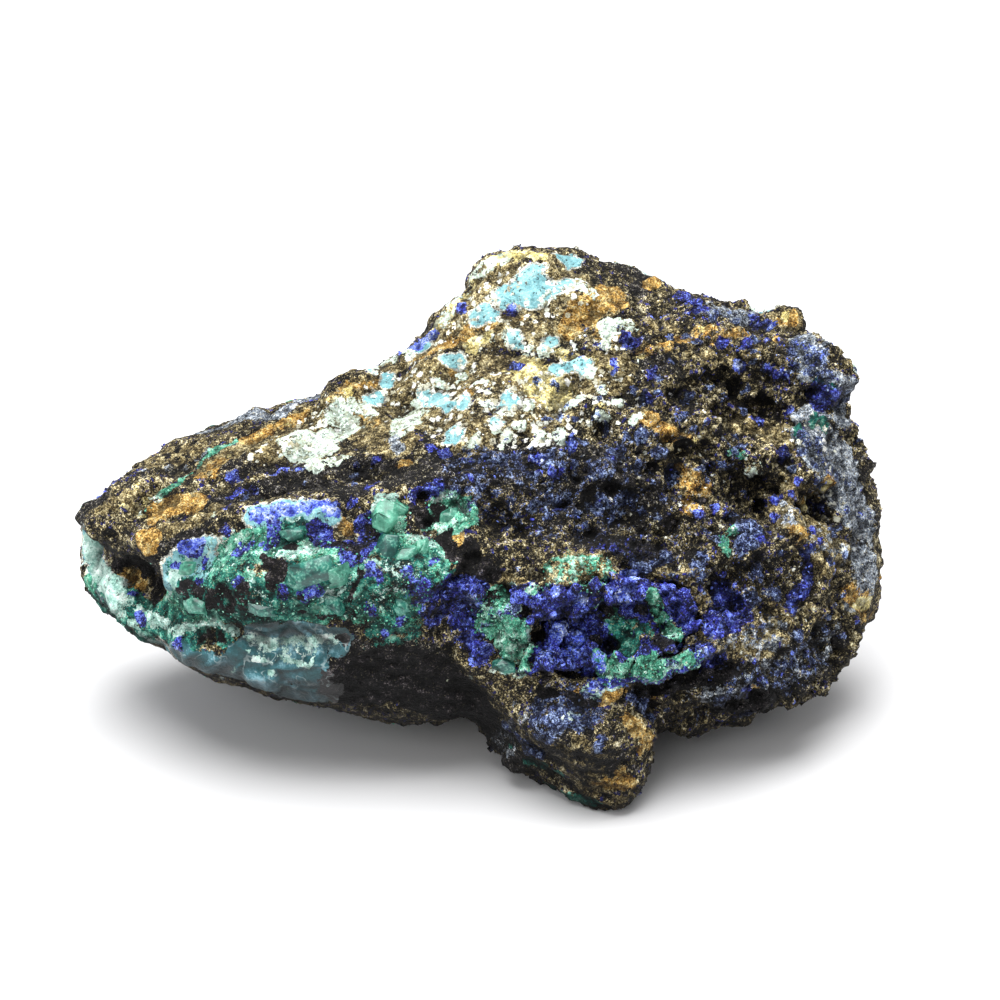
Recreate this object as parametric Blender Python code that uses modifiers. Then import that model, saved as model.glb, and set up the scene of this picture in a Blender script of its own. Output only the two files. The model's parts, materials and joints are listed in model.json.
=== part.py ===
"""Azurite specimen: a loose lump of iron-stained gossan with a crust of azurite crystals in its front pocket.

The rock is lofted through nine ridge lines that run from its left end to its right end, joined to a few broken
lumps, sculpted with named strokes, roughened, thinned to facets and cut flat where it rests.
Millimetres here become metres when a mesh is made. +Z is up, and the broad face looks towards -Y.
"""

import math
import random

import bmesh
import bpy
from mathutils import Matrix, Vector, noise
from mathutils.bvhtree import BVHTree

MM = 0.001

# Driving dimensions
LENGTH = 122.0
LOFT_STEPS = 5
SKIN_VOXEL = 1.1
GRAIN_VOXEL = 0.8
ROCK_TRIANGLES = 7100
FLOOR_CUT = 0.0
CRUST_GAP = 0.45
CUT_GAP = 0.35
CRUST_THICKNESS = 1.2
POCKET_CENTRE = (15, -25, 27.5)
POCKET_REACH = (17, 11, 7.0)
DOME_CENTRE = (6, -27, 28)
DOME_RADIUS = 4.4
CRYSTAL_COUNT = 44
CRYSTAL_SPACING = 1.9
CRYSTAL_RADIUS = (0.7, 1.2)
CRYSTAL_SEED = 11
BLADE = 0.6

# Ridge lines: (y, z) of each line at every station along x, from the left end to the right end.
STATIONS = (-59, -52, -42, -30, -18, -6, 6, 18, 30, 42, 52, 59)
RIDGES = {
    "crest": (
        (-3, 34), (3, 38), (8, 41), (12, 43), (16, 47), (20, 55),
        (24, 64), (24, 63), (23, 59), (20, 57), (15, 54), (6, 37),
    ),
    "brow": (
        (-6, 34), (-10, 36), (-12, 39), (-12, 42), (-12, 44), (-12, 46),
        (-10, 48), (-8, 51), (-3, 55), (3, 56), (6, 52), (0, 35),
    ),
    "shelf": (
        (-7, 32), (-13, 34), (-17, 36), (-19, 40), (-19, 41), (-18, 42),
        (-17, 41), (-16, 41), (-13, 43), (-8, 44), (-3, 41), (-2, 29),
    ),
    "belt": (
        (-5, 27), (-14, 27), (-21, 30), (-25, 33), (-26, 34), (-26, 33),
        (-25, 33), (-24, 34), (-22, 34), (-17, 32), (-10, 28), (-4, 22),
    ),
    "chin": (
        (-5, 21), (-12, 19), (-19, 16), (-22, 14), (-24, 12), (-25, 11),
        (-27, 17), (-28, 18), (-27, 18), (-23, 15), (-15, 11), (-5, 15),
    ),
    "front keel": (
        (0, 18), (3, 11), (0, 6), (-5, 4), (-5, 4), (-6, 3),
        (-10, 2), (-12, 2), (-16, 4), (-14, 5), (-8, 7), (1, 12),
    ),
    "back keel": (
        (6, 18), (11, 10), (15, 6), (19, 2), (20, -1), (20, -2),
        (20, -2), (20, -2), (20, -2), (18, 1), (14, 5), (7, 14),
    ),
    "back belt": (
        (8, 24), (16, 20), (23, 18), (28, 18), (31, 20), (33, 22),
        (34, 22), (35, 22), (33, 20), (28, 20), (21, 20), (11, 22),
    ),
    "back shoulder": (
        (5, 31), (13, 33), (19, 35), (24, 36), (27, 38), (30, 43),
        (32, 50), (32, 49), (30, 46), (27, 45), (20, 42), (10, 33),
    ),
}

# Broken lumps that stand out of the lofted body, each the hull of a few corners.
LUMPS = {
    "front foot": (
        (-4, -18, 14), (0, -23, 6), (4, -26, 3), (10, -29, 1), (16, -33, -1), (21, -36, -1), (24, -34, 3),
        (25, -31, 7), (27, -28, 12), (18, -35, 10), (10, -32, 16), (3, -29, 17), (20, -31, 20),
        (6, -10, 0), (24, -14, 0), (28, -20, 10), (0, -14, 2),
    ),
    "left beak": (
        (-61, -7, 31), (-60.5, -6, 34), (-58, -9, 36), (-54, -11, 35), (-50, -8, 39), (-50, 0, 38), (-57, -2, 37),
        (-54, -11, 32), (-58, -9, 31.5), (-52, 0, 32),
    ),
    "right shoulder": (
        (45, 20, 56), (49, 18, 57.5), (52, 14, 54), (52, 8, 48), (46, 26, 48), (42, 14, 54), (40, 22, 50),
        (44, 8, 50),
    ),
}

# Flat fractures: a point on each and the direction it faces. Rock that stands past one is pressed back to it.
FRACTURES = {
    "back right": ((36, 26, 26), (0.50, 0.86, -0.04)),
    "back left": ((-24, 24, 28), (-0.38, 0.92, 0.05)),
    "back top": ((6, 31, 52), (-0.05, 0.90, 0.43)),
    "back foot": ((2, 27, 12), (-0.12, 0.80, -0.58)),
    "back right foot": ((34, 21, 9), (0.45, 0.55, -0.70)),
    "right flank": ((60, 2, 32), (0.96, -0.20, 0.18)),
    "left under": ((-38, 4, 9), (-0.30, 0.10, -0.95)),
    "left back": ((-48, 12, 36), (-0.62, 0.72, 0.30)),
}
FRACTURE_PRESS = 0.92

# Sculpting strokes: (name, path points, radius, lift). A negative lift digs; the path is snapped to the skin.
STROKES = (
    ("brow lip", ((-46, -15, 35), (-38, -16, 38), (-30, -16, 41), (-18, -16, 43), (-6, -15, 44)), 2.6, 2.2),
    ("groove under brow lip", ((-44, -19, 33), (-36, -20, 36), (-26, -21, 38), (-12, -20, 39)), 1.9, -1.9),
    ("upper strata step", ((-54, -7, 37), (-42, -6, 41), (-28, 1, 44), (-16, 4, 47)), 2.2, 1.5),
    ("upper strata groove", ((-50, -9, 37), (-38, -7, 42), (-26, -2, 44)), 1.6, -1.3),
    ("slab step", ((-34, -9, 43), (-20, -8, 45), (-6, -6, 48), (8, -4, 50)), 2.4, 1.3),
    ("slab groove", ((-22, 2, 45), (-8, 4, 50), (4, 6, 54), (16, 8, 57)), 2.0, -1.5),
    ("peak knob", ((4, 22, 64), (14, 24, 64)), 5.0, 0.6),
    ("shoulder knob", ((47, 19, 56),), 4.0, 2.2),
    ("peak step", ((-8, 8, 52), (0, 14, 58), (10, 16, 61), (20, 14, 60)), 3.0, 1.6),
    ("crest swell", ((-12, 16, 49), (-6, 18, 54)), 3.5, 1.2),
    ("under beak", ((-61, -6, 28), (-57, -10, 29)), 2.8, -2.6),
    ("orange nodule", ((-49, -15, 36),), 3.2, 1.8),
    ("orange slab", ((-46, -11, 38), (-39, -10, 41)), 2.6, 1.2),
    ("left cavity", ((-50, -14, 28),), 3.8, -5.0),
    ("left slot", ((-45, -19, 28), (-46, -18, 25)), 1.8, -2.0),
    ("left pillar", ((-57, -8, 31), (-55, -10, 24), (-50, -15, 20)), 2.2, 1.2),
    ("malachite swell", ((-34, -24, 35), (-24, -26, 34)), 6.5, 1.6),
    ("malachite groove", ((-44, -21, 25), (-34, -25, 25), (-20, -27, 26)), 2.0, -1.2),
    ("smooth sill", ((-42, -20, 21), (-32, -25, 20), (-22, -27, 20)), 3.2, 1.4),
    ("plate cave left", ((-8, -20, 40),), 2.0, -3.0),
    ("plate cave right", ((-6, -18, 43),), 1.8, -2.5),
    ("plate rim", ((-12, -21, 41), (-4, -18, 42), (-1, -19, 39)), 2.0, 1.2),
    ("white ledge", ((-14, -25, 35), (-6, -26, 35)), 2.4, 1.4),
    ("seam beside pocket", ((-3, -24, 30), (-5, -26, 22), (-2, -26, 14)), 2.4, -2.2),
    ("pocket floor left", ((2, -26, 28), (7, -26, 26)), 4.0, -2.2),
    ("pocket floor", ((13, -26, 27), (22, -26, 28), (28, -25, 28)), 5.0, -3.8),
    ("azurite mound", ((11, -25, 33), (16, -24, 34)), 3.8, 3.0),
    ("malachite dome", ((5, -27, 28),), 4.2, 2.8),
    ("pocket lip", ((8, -30, 20), (17, -31, 21), (26, -31, 23), (34, -29, 25)), 2.4, 3.6),
    ("lip slot", ((28, -28, 26), (32, -27, 26)), 1.7, -2.6),
    ("groove under lip", ((10, -29, 17), (20, -30, 18), (30, -29, 19), (37, -26, 21)), 2.2, -3.2),
    ("foot boss", ((11, -32, 15), (15, -34, 13)), 5.0, 2.6),
    ("foot groove", ((4, -28, 12), (10, -33, 10), (16, -35, 9)), 1.6, -1.0),
    ("upper vug", ((37, 0, 57), (42, 1, 55)), 2.8, -5.2),
    ("wide vug", ((38, -3, 51), (44, -2, 51)), 3.2, -6.4),
    ("deep vug", ((40, -11, 42), (43, -11, 42)), 3.2, -6.5),
    ("slit vug", ((47, -6, 37), (52, -4, 36)), 2.4, -5.0),
    ("blue vug", ((35, -19, 30),), 3.2, -5.0),
    ("small vug", ((42, -12, 37),), 2.2, -3.4),
    ("far vug", ((32, -5, 56),), 2.4, -3.4),
    ("inner vug", ((29, -13, 44),), 2.4, -3.0),
    ("centre vug", ((20, -17, 41), (24, -16, 41)), 2.0, -2.6),
    ("right rib", ((51, -9, 33), (49, -13, 27), (47, -16, 22)), 2.2, 1.6),
    ("right swell", ((44, -12, 33),), 4.5, 1.6),
    ("right seam", ((56, 4, 42), (58, 0, 34), (57, -4, 27)), 2.0, -1.8),
    ("lower right shelf", ((40, -21, 16), (50, -15, 13)), 3.0, 1.6),
    ("undercut", ((34, -20, 8), (44, -16, 8)), 3.6, -2.2),
    ("back hollow", ((-8, 30, 36), (2, 33, 32)), 7.0, -4.0),
    ("back spur", ((22, 35, 26), (26, 33, 14)), 5.0, 2.5),
    ("back step", ((-34, 24, 30), (-14, 29, 34)), 3.2, 2.0),
)

# How coarsely the skin breaks up along the rock: (x, y, z), reach, and the strength of the crumbling there.
CRUMBLE_ZONES = (
    ((30, -8, 44), 30, 1.0),
    ((48, 0, 30), 24, 0.9),
    ((16, -34, 10), 14, 0.5),
    ((14, -27, 27), 16, 0.8),
    ((5, 34, 30), 60, 0.8),
)
CALM_CRUMBLE = 0.18


def metres(point):
    """A point in millimetres as a vector in metres."""
    return Vector(point) * MM


def object_from(bm, name, collection):
    """Puts a bmesh into a new mesh object, frees it and returns the object."""
    mesh = bpy.data.meshes.new(name)
    bm.to_mesh(mesh)
    bm.free()
    made = bpy.data.objects.new(name, mesh)
    collection.objects.link(made)
    return made


def baked(obj):
    """Replaces an object's mesh with what its modifiers make of it."""
    graph = bpy.context.evaluated_depsgraph_get()
    mesh = bpy.data.meshes.new_from_object(obj.evaluated_get(graph))
    obj.modifiers.clear()
    obj.data = mesh
    return obj


def skinned(obj, voxel_mm):
    """Rebuilds an object's surface as one even, closed skin."""
    remesh = obj.modifiers.new("skin", "REMESH")
    remesh.mode = "VOXEL"
    remesh.voxel_size = voxel_mm * MM
    return baked(obj)


def loft_ring(station, shrink=1.0, push=0.0):
    """The ring of ridge points at one station, drawn in towards its middle and pushed along x."""
    ring = [Vector((STATIONS[station] + push, *line[station])) for line in RIDGES.values()]
    middle = sum(ring, Vector()) / len(ring)
    return [middle + (point - middle) * shrink for point in ring]


def curved(before, start, end, after, share):
    """A point between start and end on the smooth curve that passes through all four points."""
    slope = (end - before) * share
    bend = (before * 2 - start * 5 + end * 4 - after) * share ** 2
    turn = (start * 3 - before - end * 3 + after) * share ** 3
    return start + (slope + bend + turn) / 2


def smooth_ring(ring):
    """A closed ring with LOFT_STEPS points for each of its own."""
    count = len(ring)
    fine = []
    for k in range(count):
        near = [ring[(k + j) % count] for j in (-1, 0, 1, 2)]
        fine += [curved(*near, step / LOFT_STEPS) for step in range(LOFT_STEPS)]
    return fine


def smooth_rings(rings):
    """An open row of rings with LOFT_STEPS rings for each of its spans."""
    fine = []
    last = len(rings) - 1
    for k in range(last):
        near = [rings[max(0, min(last, k + j))] for j in (-1, 0, 1, 2)]
        for step in range(LOFT_STEPS):
            fine.append([curved(*points, step / LOFT_STEPS) for points in zip(*near)])
    return fine + [rings[last]]


def lofted_body(collection):
    """The main body: a smooth loft through the ridge lines, closed at both ends."""
    last = len(STATIONS) - 1
    rings = [loft_ring(0, 0.62, -1.6)]
    rings += [loft_ring(station) for station in range(len(STATIONS))]
    rings.append(loft_ring(last, 0.62, 1.6))
    bm = bmesh.new()
    loops = [[bm.verts.new(point * MM) for point in smooth_ring(ring)] for ring in smooth_rings(rings)]
    count = len(loops[0])
    for left, right in zip(loops, loops[1:]):
        for k in range(count):
            j = (k + 1) % count
            bm.faces.new((left[k], left[j], right[j], right[k]))
    bm.faces.new(loops[0])
    bm.faces.new(loops[-1])
    bmesh.ops.recalc_face_normals(bm, faces=bm.faces)
    return object_from(bm, "lofted_body", collection)


def lump(name, corners, collection):
    """A broken lump: the convex hull of its corners."""
    bm = bmesh.new()
    for corner in corners:
        bm.verts.new(metres(corner))
    bmesh.ops.convex_hull(bm, input=bm.verts)
    loose = [vert for vert in bm.verts if not vert.link_faces]
    bmesh.ops.delete(bm, geom=loose, context="VERTS")
    bmesh.ops.recalc_face_normals(bm, faces=bm.faces)
    return object_from(bm, name, collection)


def joined(objects, name, collection):
    """One mesh object holding several overlapping closed shapes, which the voxel skin then merges."""
    bm = bmesh.new()
    for obj in objects:
        bm.from_mesh(obj.data)
        bpy.data.objects.remove(obj)
    return object_from(bm, name, collection)


def distance_to_path(point, path):
    """The distance from a point to a polyline, or to a single point."""
    if len(path) == 1:
        return (point - path[0]).length
    nearest = math.inf
    for start, end in zip(path, path[1:]):
        along = end - start
        share = max(0.0, min(1.0, (point - start).dot(along) / along.length_squared))
        nearest = min(nearest, (point - start - along * share).length)
    return nearest


def smooth_step(share):
    """A rise from 0 to 1 with flat ends."""
    share = max(0.0, min(1.0, share))
    return share * share * (3 - 2 * share)


def fracture(obj):
    """Presses the skin back to each fracture plane that it stands past."""
    planes = [(metres(point), Vector(facing).normalized()) for point, facing in FRACTURES.values()]
    for vert in obj.data.vertices:
        for point, facing in planes:
            past = (vert.co - point).dot(facing)
            if past > 0:
                vert.co -= facing * past * FRACTURE_PRESS
    obj.data.update()


def sculpt(obj):
    """Applies every stroke: vertices near its path move along their normals by a rounded share of its lift."""
    mesh = obj.data
    tree = BVHTree.FromPolygons([v.co for v in mesh.vertices], [p.vertices for p in mesh.polygons])
    normals = [v.normal.copy() for v in mesh.vertices]
    moves = [0.0] * len(mesh.vertices)
    for _name, points, radius, lift in STROKES:
        path = [tree.find_nearest(metres(point))[0] for point in points]
        reach = radius * MM * 1.35
        low = [min(p[k] for p in path) - reach for k in range(3)]
        high = [max(p[k] for p in path) + reach for k in range(3)]
        for vert in mesh.vertices:
            place = vert.co
            if any(place[k] < low[k] or place[k] > high[k] for k in range(3)):
                continue
            wobble = 0.25 * radius * MM * noise.noise(place / (2.5 * MM))
            share = 1.0 - (distance_to_path(place, path) + wobble) / reach
            moves[vert.index] += lift * MM * smooth_step(1.5 * share)
    for vert, normal, move in zip(mesh.vertices, normals, moves):
        vert.co += normal * move
    mesh.update()


def crumble_at(place):
    """How strongly the skin crumbles at a place, from the zones around it."""
    strength = CALM_CRUMBLE
    for centre, reach, value in CRUMBLE_ZONES:
        share = 1.0 - (place - metres(centre)).length / (reach * MM)
        strength = max(strength, value * smooth_step(1.6 * share))
    return strength


def chunk_height(place, size_mm):
    """Tilted flat-faced chunks, from cells of about this size: between -1 and 1."""
    scaled = place / (size_mm * MM)
    distances, points = noise.voronoi(scaled)
    seat = points[0]
    tilt = Vector([noise.noise(seat * 7.3 + Vector((offset, 3.1, offset))) for offset in (0.0, 11.7, 23.9)])
    step = noise.noise(seat * 3.1 + Vector((5.2, 1.3, 8.8)))
    gap = min(1.0, (distances[1] - distances[0]) / 0.18)
    return step * 0.8 + tilt.dot(scaled - seat) * 0.9 - 0.5 * (1.0 - gap)


def roughen(obj):
    """Breaks the skin up with broad swells, flat-faced chunks, grains and pits, strongest in the crumbling zones."""
    mesh = obj.data
    normals = [v.normal.copy() for v in mesh.vertices]
    for vert, normal in zip(mesh.vertices, normals):
        place = vert.co.copy()
        strength = crumble_at(place)
        swell = 1.1 * noise.fractal(place / (15 * MM), 1.0, 2.1, 3)
        blocks = (0.35 + strength) * 1.3 * chunk_height(place + metres((4, 9, 2)), 9.5)
        chunks = (0.1 + strength) * 1.5 * chunk_height(place, 4.6)
        pit = noise.noise(place / (3.6 * MM) + Vector((9.1, 4.4, 2.7)))
        pits = -7.0 * strength * max(0.0, pit - 0.3)
        vert.co += normal * (swell + blocks + chunks + pits) * MM
    mesh.update()


def thinned(obj, triangles):
    """Collapses the skin to about this many triangles, which leaves flat facets where the form is flat."""
    bm = bmesh.new()
    bm.from_mesh(obj.data)
    bmesh.ops.triangulate(bm, faces=bm.faces)
    have = len(bm.faces)
    bm.to_mesh(obj.data)
    bm.free()
    decimate = obj.modifiers.new("facets", "DECIMATE")
    decimate.ratio = triangles / have
    decimate.use_collapse_triangulate = True
    return baked(obj)


def cut_flat(obj, height, cutters):
    """Takes away what lies below a height, which leaves the flat pads that the rock rests on."""
    bm = bmesh.new()
    side = 3 * LENGTH * MM
    bmesh.ops.create_cube(bm, size=side)
    bmesh.ops.translate(bm, vec=(0, 0, height - side / 2), verts=bm.verts)
    floor = object_from(bm, "floor_cutter", cutters)
    floor.hide_render = True
    floor.display_type = "WIRE"
    cut = obj.modifiers.new("rest", "BOOLEAN")
    cut.operation = "DIFFERENCE"
    cut.object = floor
    return baked(obj)


def largest_piece(obj):
    """Keeps the one island of faces, joined edge to edge, that has the most faces."""
    bm = bmesh.new()
    bm.from_mesh(obj.data)
    left = set(bm.faces)
    islands = []
    while left:
        seed = left.pop()
        island, front = {seed}, [seed]
        while front:
            face = front.pop()
            for edge in face.edges:
                if len(edge.link_faces) != 2:
                    continue
                for other in edge.link_faces:
                    if other not in island:
                        island.add(other)
                        front.append(other)
        left -= island
        islands.append(island)
    keep = max(islands, key=len)
    bmesh.ops.delete(bm, geom=[f for f in bm.faces if f not in keep], context="FACES")
    bm.to_mesh(obj.data)
    bm.free()


def sized(obj):
    """Scales the rock to its length and centres it over the origin, standing on the floor."""
    corners = [vert.co for vert in obj.data.vertices]
    low = Vector([min(co[k] for co in corners) for k in range(3)])
    high = Vector([max(co[k] for co in corners) for k in range(3)])
    seat = Vector(((low.x + high.x) / 2, (low.y + high.y) / 2, low.z))
    scale = LENGTH * MM / (high.x - low.x)
    obj.data.transform(Matrix.Scale(scale, 4) @ Matrix.Translation(-seat))


def in_pocket(place):
    """Whether a place lies in the front pocket, outside the malachite dome that stands in it."""
    offset = place - metres(POCKET_CENTRE)
    share = sum((offset[k] / (POCKET_REACH[k] * MM)) ** 2 for k in range(3))
    return share < 1.0 and (place - metres(DOME_CENTRE)).length > DOME_RADIUS * MM


def pocket_shell(rock, collection):
    """A skin over the pocket: the rock's faces there, held off by the gap and given a thickness outwards."""
    bm = bmesh.new()
    bm.from_mesh(rock.data)
    bmesh.ops.remove_doubles(bm, verts=bm.verts, dist=0.00001)
    bm.normal_update()
    outside = [f for f in bm.faces if not in_pocket(f.calc_center_median())]
    lifts = {vert: vert.normal * (CRUST_GAP * MM * min(1.6, vert.calc_shell_factor())) for vert in bm.verts}
    bmesh.ops.delete(bm, geom=outside, context="FACES")
    for vert in bm.verts:
        vert.co += lifts[vert]
    shell = object_from(bm, "pocket_shell", collection)
    largest_piece(shell)
    wall = shell.modifiers.new("wall", "SOLIDIFY")
    wall.thickness = CRUST_THICKNESS * MM
    wall.offset = 1.0
    wall.use_rim = True
    return baked(shell)


def add_crystal(bm, place, direction, radius, length, turn):
    """One flattened six-sided prism with a low point at its free end, rooted at a place."""
    made = bmesh.ops.create_cone(
        bm, cap_ends=True, cap_tris=False, segments=6, radius1=radius, radius2=radius * 0.9, depth=length
    )
    verts = made["verts"]
    bmesh.ops.scale(bm, vec=(1.0, BLADE, 1.0), verts=verts)
    tip = max((f for f in bm.faces if set(f.verts) <= set(verts)), key=lambda f: f.calc_center_median().z)
    poked = bmesh.ops.poke(bm, faces=[tip])
    for vert in poked["verts"]:
        vert.co.z += radius * 0.7
        vert.co.x += radius * 0.3
    verts += poked["verts"]
    bmesh.ops.translate(bm, vec=(0, 0, length * 0.28), verts=verts)
    seat = Matrix.Translation(place) @ direction.to_track_quat("Z", "Y").to_matrix().to_4x4()
    bmesh.ops.transform(bm, matrix=seat @ Matrix.Rotation(turn, 4, "Z"), verts=verts)


def pocket_crystals(shell, collection):
    """Crystals standing on the outer side of the shell, turned every way but leaning outwards."""
    rng = random.Random(CRYSTAL_SEED)
    outer = [p for p in shell.data.polygons if p.normal.y < 0.35 and p.area > (0.5 * MM) ** 2]
    bm = bmesh.new()
    seats = []
    tries = 0
    while len(seats) < CRYSTAL_COUNT and tries < 4000:
        tries += 1
        face = rng.choice(outer)
        place = face.center.copy()
        if any((place - other).length < CRYSTAL_SPACING * MM for other in seats):
            continue
        seats.append(place)
        lean = Vector((rng.uniform(-1, 1), rng.uniform(-1, 1), rng.uniform(-1, 1))) * 0.75
        direction = (face.normal + lean).normalized()
        radius = rng.uniform(*CRYSTAL_RADIUS) * MM
        length = radius * rng.uniform(2.2, 3.2)
        add_crystal(bm, place, direction, radius, length, rng.uniform(0, math.pi))
    bmesh.ops.recalc_face_normals(bm, faces=bm.faces)
    return object_from(bm, "pocket_crystals", collection)


def united(obj, tool):
    """Joins an object with an overlapping one into a single body."""
    union = obj.modifiers.new("grown together", "BOOLEAN")
    union.operation = "UNION"
    union.object = tool
    union.use_self = True
    baked(obj)
    bpy.data.objects.remove(tool)
    return obj


def held_off(obj, rock, cutters):
    """Cuts an object back to where the rock, swollen by a little less than the gap, leaves it."""
    swollen = rock.copy()
    swollen.data = rock.data.copy()
    swollen.name = "swollen_rock_cutter"
    swollen.data.materials.clear()
    cutters.objects.link(swollen)
    swollen.hide_render = True
    swollen.display_type = "WIRE"
    swell = swollen.modifiers.new("swell", "DISPLACE")
    swell.mid_level = 0.0
    swell.strength = CUT_GAP * MM
    baked(swollen)
    cut = obj.modifiers.new("gap", "BOOLEAN")
    cut.operation = "DIFFERENCE"
    cut.object = swollen
    baked(obj)
    bpy.data.objects.remove(swollen)
    return obj


def build_crust(rock, parts, cutters):
    """The azurite crust that lines the pocket."""
    shell = pocket_shell(rock, parts)
    crust = united(shell, pocket_crystals(shell, parts))
    held_off(crust, rock, cutters)
    crust.name = "azurite_crust"
    crust.data.name = "azurite_crust"
    largest_piece(crust)
    return crust


def finish_for(name, colour, roughness):
    """A plain material."""
    material = bpy.data.materials.new(name)
    material.use_nodes = True
    shader = material.node_tree.nodes["Principled BSDF"]
    shader.inputs["Base Color"].default_value = (*colour, 1)
    shader.inputs["Roughness"].default_value = roughness
    shader.inputs["Metallic"].default_value = 0.0
    return material


def build_rock(parts, cutters):
    """The whole lump of matrix, from loft to facets."""
    body = lofted_body(parts)
    lumps = [lump(name, corners, parts) for name, corners in LUMPS.items()]
    rock = joined([body, *lumps], "matrix_rock", parts)
    skinned(rock, SKIN_VOXEL)
    fracture(rock)
    skinned(rock, SKIN_VOXEL)
    sculpt(rock)
    skinned(rock, GRAIN_VOXEL)
    roughen(rock)
    skinned(rock, GRAIN_VOXEL)
    thinned(rock, ROCK_TRIANGLES)
    cut_flat(rock, FLOOR_CUT * MM, cutters)
    largest_piece(rock)
    sized(rock)
    return rock


def main():
    for obj in list(bpy.data.objects):
        bpy.data.objects.remove(obj)
    parts = bpy.data.collections.new("azurite_specimen")
    cutters = bpy.data.collections.new("cutters")
    for collection in (parts, cutters):
        bpy.context.scene.collection.children.link(collection)
    rock = build_rock(parts, cutters)
    crust = build_crust(rock, parts, cutters)
    rock.data.materials.append(finish_for("gossan", (0.10, 0.08, 0.06), 0.8))
    crust.data.materials.append(finish_for("azurite", (0.05, 0.06, 0.35), 0.35))


main()
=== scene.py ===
"""Azurite specimen: the looks of a copper-stained lump, built round its packed rock and crust.

One skin stands for the rock and one druse floor for the crust in its front hollow. Where each
mineral shows is laid down as masks, which the skin's finish and the grains sown on it read alike.
Lengths are in millimetres, and become metres only where a mesh, a light or a camera is made.
"""

import json
import logging
from collections.abc import Callable
from dataclasses import dataclass, field
from enum import Enum, IntEnum
from itertools import product
from math import cos, pi, radians, sin

import bmesh
import bpy
import numpy as np
from bmesh.types import BMesh
from bpy.types import Material, Mesh, Object
from mathutils import Matrix, Vector
from mathutils.bvhtree import BVHTree

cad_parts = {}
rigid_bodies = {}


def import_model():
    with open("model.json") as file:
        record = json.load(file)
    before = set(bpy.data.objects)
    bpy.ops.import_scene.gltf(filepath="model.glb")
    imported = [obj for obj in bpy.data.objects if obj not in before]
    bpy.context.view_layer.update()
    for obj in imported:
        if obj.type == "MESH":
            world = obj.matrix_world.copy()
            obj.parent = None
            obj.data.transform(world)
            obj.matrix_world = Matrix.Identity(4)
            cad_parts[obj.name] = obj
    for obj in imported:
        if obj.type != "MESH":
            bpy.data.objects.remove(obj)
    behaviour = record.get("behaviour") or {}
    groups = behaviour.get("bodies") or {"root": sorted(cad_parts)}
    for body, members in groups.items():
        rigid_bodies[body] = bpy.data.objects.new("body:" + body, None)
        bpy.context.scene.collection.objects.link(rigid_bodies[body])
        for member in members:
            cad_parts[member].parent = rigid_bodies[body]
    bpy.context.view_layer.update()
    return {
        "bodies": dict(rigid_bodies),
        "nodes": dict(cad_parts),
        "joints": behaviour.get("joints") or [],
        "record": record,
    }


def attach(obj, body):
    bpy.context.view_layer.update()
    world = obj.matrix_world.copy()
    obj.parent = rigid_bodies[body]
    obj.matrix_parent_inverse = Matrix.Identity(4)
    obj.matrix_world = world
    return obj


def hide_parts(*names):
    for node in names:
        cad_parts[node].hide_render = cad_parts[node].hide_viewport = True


MM = 0.001
PICTURE = 1000
LOG = logging.getLogger("azurite_specimen")

Pixel = tuple[int, int]
Tone = tuple[int, int, int]
Span = tuple[float, float]
Triple = tuple[float, float, float]
Shade = tuple[float, float, float, float]
Array = np.ndarray
Chance = np.random.Generator


class Layer(Enum):
    """What is laid on the rock. A value is the name of the mask that holds it."""

    # Partly the rock's dark ground and partly painted shade under the lobe, the front, the foot and the low
    # flank.
    DARK = "dark"
    TAN = "tan"
    # Partly the rock's own grey-blue and partly a painted sheen on the crest edge and the right rim.
    SLATE_AND_SHEEN = "slate"
    OCHRE = "ochre"
    CREAM = "cream"
    CRUST = "crust"
    TURQUOISE = "turquoise"
    DEEP = "deep"
    MINT = "mint"
    FROST = "frost"
    WAXY = "waxy"
    CHALK = "chalk"
    INDIGO = "indigo"
    AZURITE = "azurite"
    BRIGHT = "bright"
    # Mostly painted shade in holes, gaps, slots and under ledges, the lobe and the foot, with some of the
    # rock's own black veins and specks.
    SHADE_AND_BLACK = "pit"
    STRATA = "strata"
    ROUGH = "rough"


Masks = dict[Layer, Array]


class Seed(IntEnum):
    """Where each noise and each run of chance starts, so that they come out the same each time."""

    WARP = 3
    NUDGE, COBBLES, VUGS, VUG_DRIFT, NODULES, LUMPS, GRIT, SLABS, SHELLS, BEDS, SHELL_DRIFT = range(41, 52)
    CRYSTALS, DRUSE, CLUSTERS = range(61, 64)
    CRUMB_SHAPES, BLADE_SHAPES, BEAD_SHAPES = range(71, 74)
    CLUMPS, CRUMBS, CRUMB_LOTS, BLADES, BLADE_TINTS, BEADS, BEAD_TINTS = range(80, 87)
    FLAKES, FLAKE_TINTS, BLADE_SHADE = range(87, 90)
    CHIPS = 91


def linear(channel: Array) -> Array:
    """Returns screen values, 0 to 255, as linear light, 0 to 1."""
    share = np.asarray(channel, float) / 255.0
    return np.where(share <= 0.04045, share / 12.92, ((share + 0.055) / 1.055) ** 2.4)


@dataclass(frozen=True)
class Palette:
    """The tones of one mineral, from its darkest to its lightest, with where each stands from 0 to 1."""

    stops: tuple[tuple[float, Tone], ...]

    def ramp(self) -> list[tuple[float, tuple[float, ...]]]:
        """Returns the stops of a colour ramp in linear light."""
        return [(place, (*linear(tone), 1.0)) for place, tone in self.stops]

    def sample(self, places: Array) -> Array:
        """Reads the palette.

        Args:
            places: a number from 0 to 1 for each grain.
        Returns:
            One linear colour a row.
        """
        known = [place for place, _ in self.stops]
        tones = linear([tone for _, tone in self.stops])
        return np.stack([np.interp(places, known, tones[:, c]) for c in range(3)], axis=1)


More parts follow.
